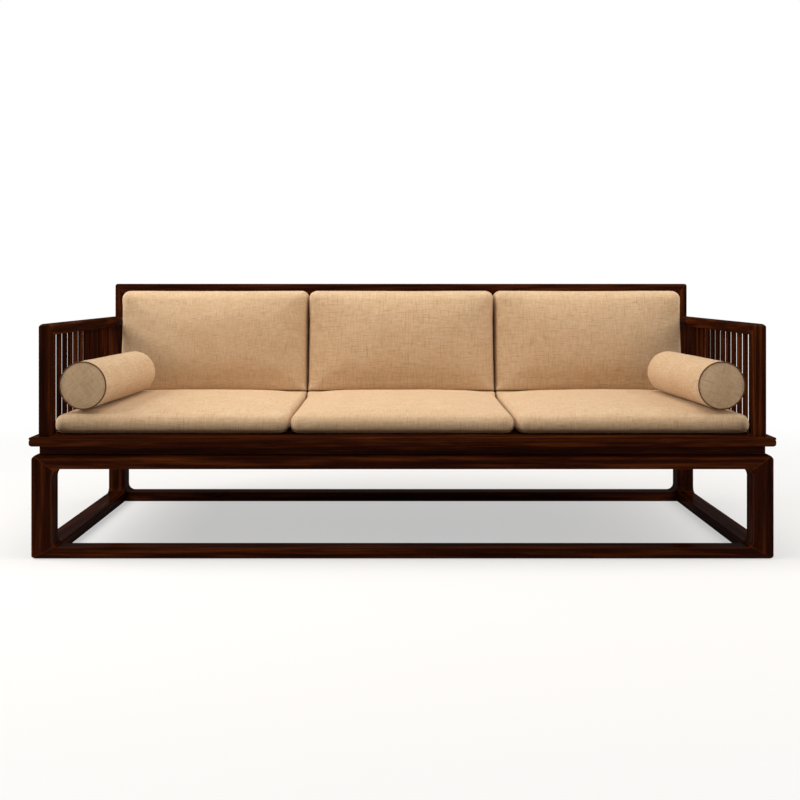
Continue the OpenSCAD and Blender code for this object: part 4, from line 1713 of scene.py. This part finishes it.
@dataclass
class Studio:
    """The floor, the soft lamps, the pale surroundings and the camera.

    Attributes:
        eye: Where the camera stands.
        sight_line: The photograph's column and row straight ahead of the camera.
        focal: The camera's focal length, in pixels of the photograph.
        photo: The photograph's side, in pixels.
        sensor: Width of the camera's sensor, in millimetres.
        surroundings: Colour of the light from all round.
        light_level: Its strength.
        lamp_colour: Colour of the lamps' light.
        floor_colour: The floor's main colour.
        floor_cloud: The colour that clouds it a little.
        lamps: Name, place, aim, side in metres and watts of each lamp.
    """

    eye: Triple = (-0.019, -3.495, 0.803)
    sight_line: tuple[float, float] = (396.0, 287.0)
    focal: float = 1035.0
    photo: float = 800.0
    sensor: float = 36.0
    surroundings: Colour = (1.0, 0.930, 0.850, 1.0)
    light_level: float = 0.25
    lamp_colour: Triple = (1.0, 0.965, 0.92)
    floor_colour: Colour = (0.86, 0.85, 0.84, 1.0)
    floor_cloud: Colour = (0.80, 0.79, 0.78, 1.0)
    lamps: Sequence[tuple[str, Triple, Triple, float, float]] = (
        ("key_lamp", (-3.3, -0.55, 2.8), (0.2, 0.0, 0.35), 2.0, 118.0),
        ("fill_lamp", (3.3, -0.75, 2.4), (-0.1, 0.0, 0.40), 2.4, 64.0),
        ("top_lamp", (0.1, -0.1, 3.3), (0.0, 0.1, 0.4), 2.4, 56.0),
    )

    def seen(self, graph: Graph) -> Wire:
        """Tells what the camera sees from what lights the object.

        Args:
            graph: The graph of the floor or of the world.

        Returns:
            1 where the camera sees a surface, straight, in a gloss or through glass, otherwise 0.
        """
        rays = graph.node("ShaderNodeLightPath", out="Is Camera Ray")
        outputs = rays.socket.node.outputs
        for kind in ("Is Glossy Ray", "Is Transmission Ray"):
            rays = rays + Wire(graph, outputs[kind])
        return rays.math("MINIMUM", 1.0)

    def lay_floor(self) -> None:
        """Makes a wide pale floor that keeps the object's shadow and fades to white far away."""
        lone()
        bpy.ops.mesh.primitive_circle_add(vertices=96, radius=14.0, fill_type="NGON")
        floor = bpy.context.active_object
        floor.name = "studio_floor"
        graph, made = Graph.material("studio_floor")
        x, y, _ = graph.parts(graph.node("ShaderNodeTexCoord", out="Object"))
        away = (x * x + y * y).math("SQRT")
        soft = graph.noise(graph.vector(x, y, 0.0), 3.0, 3.0)
        colour = graph.mix(soft * 0.05, self.floor_colour, self.floor_cloud)
        dull = {"Base Color": colour, "Roughness": 0.9}
        matt = graph.node("ShaderNodeBsdfPrincipled", inputs=dull)
        white = graph.node("ShaderNodeEmission", inputs={"Color": (1.0,) * 4, "Strength": 1.0})
        share = self.seen(graph) * (away.over(1.0, 3.4) * 0.50 + 0.50)
        mixed = graph.node("ShaderNodeMixShader", inputs={0: share, 1: matt, 2: white})
        graph.node_output("ShaderNodeOutputMaterial", mixed)
        floor.data.materials.append(made)

    def light(self) -> None:
        """Sets the pale surroundings, which the camera sees white, and hangs the soft lamps."""
        world = bpy.data.worlds.new("studio")
        bpy.context.scene.world = world
        world.use_nodes = True
        graph = Graph(world.node_tree)
        dim, white = (
            graph.node("ShaderNodeBackground", inputs={"Color": colour, "Strength": level})
            for colour, level in ((self.surroundings, self.light_level), ((1.0,) * 4, 1.0))
        )
        mixed = graph.node("ShaderNodeMixShader", inputs={0: self.seen(graph), 1: dim, 2: white})
        graph.node_output("ShaderNodeOutputWorld", mixed)
        for name, at, aim, size, power in self.lamps:
            turn = (Vector(aim) - Vector(at)).to_track_quat("-Z", "Y").to_euler()
            bpy.ops.object.light_add(type="AREA", location=at, rotation=turn)
            lamp = bpy.context.active_object
            lamp.name = name
            lamp.data.size = size
            lamp.data.energy = power
            lamp.data.color = self.lamp_colour

    def place_camera(self) -> None:
        """Stands the camera where the photograph was taken from, looking level."""
        bpy.ops.object.camera_add(location=self.eye, rotation=(math.radians(90), 0.0, 0.0))
        camera = bpy.context.active_object
        camera.name = "photo_camera"
        camera.data.sensor_width = self.sensor
        camera.data.lens = self.focal / self.photo * self.sensor
        camera.data.shift_x = (self.photo / 2 - self.sight_line[0]) / self.photo
        camera.data.shift_y = (self.sight_line[1] - self.photo / 2) / self.photo
        camera.data.clip_end = 60.0
        bpy.context.scene.camera = camera

    def set_view(self) -> None:
        """Shows colours as they are written."""
        bpy.context.scene.view_settings.view_transform = "Standard"


def main() -> None:
    """Builds the whole scene in order and reports each part."""
    logging.basicConfig(level=logging.INFO, format="%(name)s: %(message)s")
    studio = Studio()
    studio.set_view()
    studio.place_camera()
    studio.lay_floor()
    studio.light()
    log.info("studio: floor, three lamps and camera")
    log.info("hardwood frame: %d nodes dressed", HardwoodFrame().dress())
    Upholstery().build()


if __name__ == "__main__":
    main()
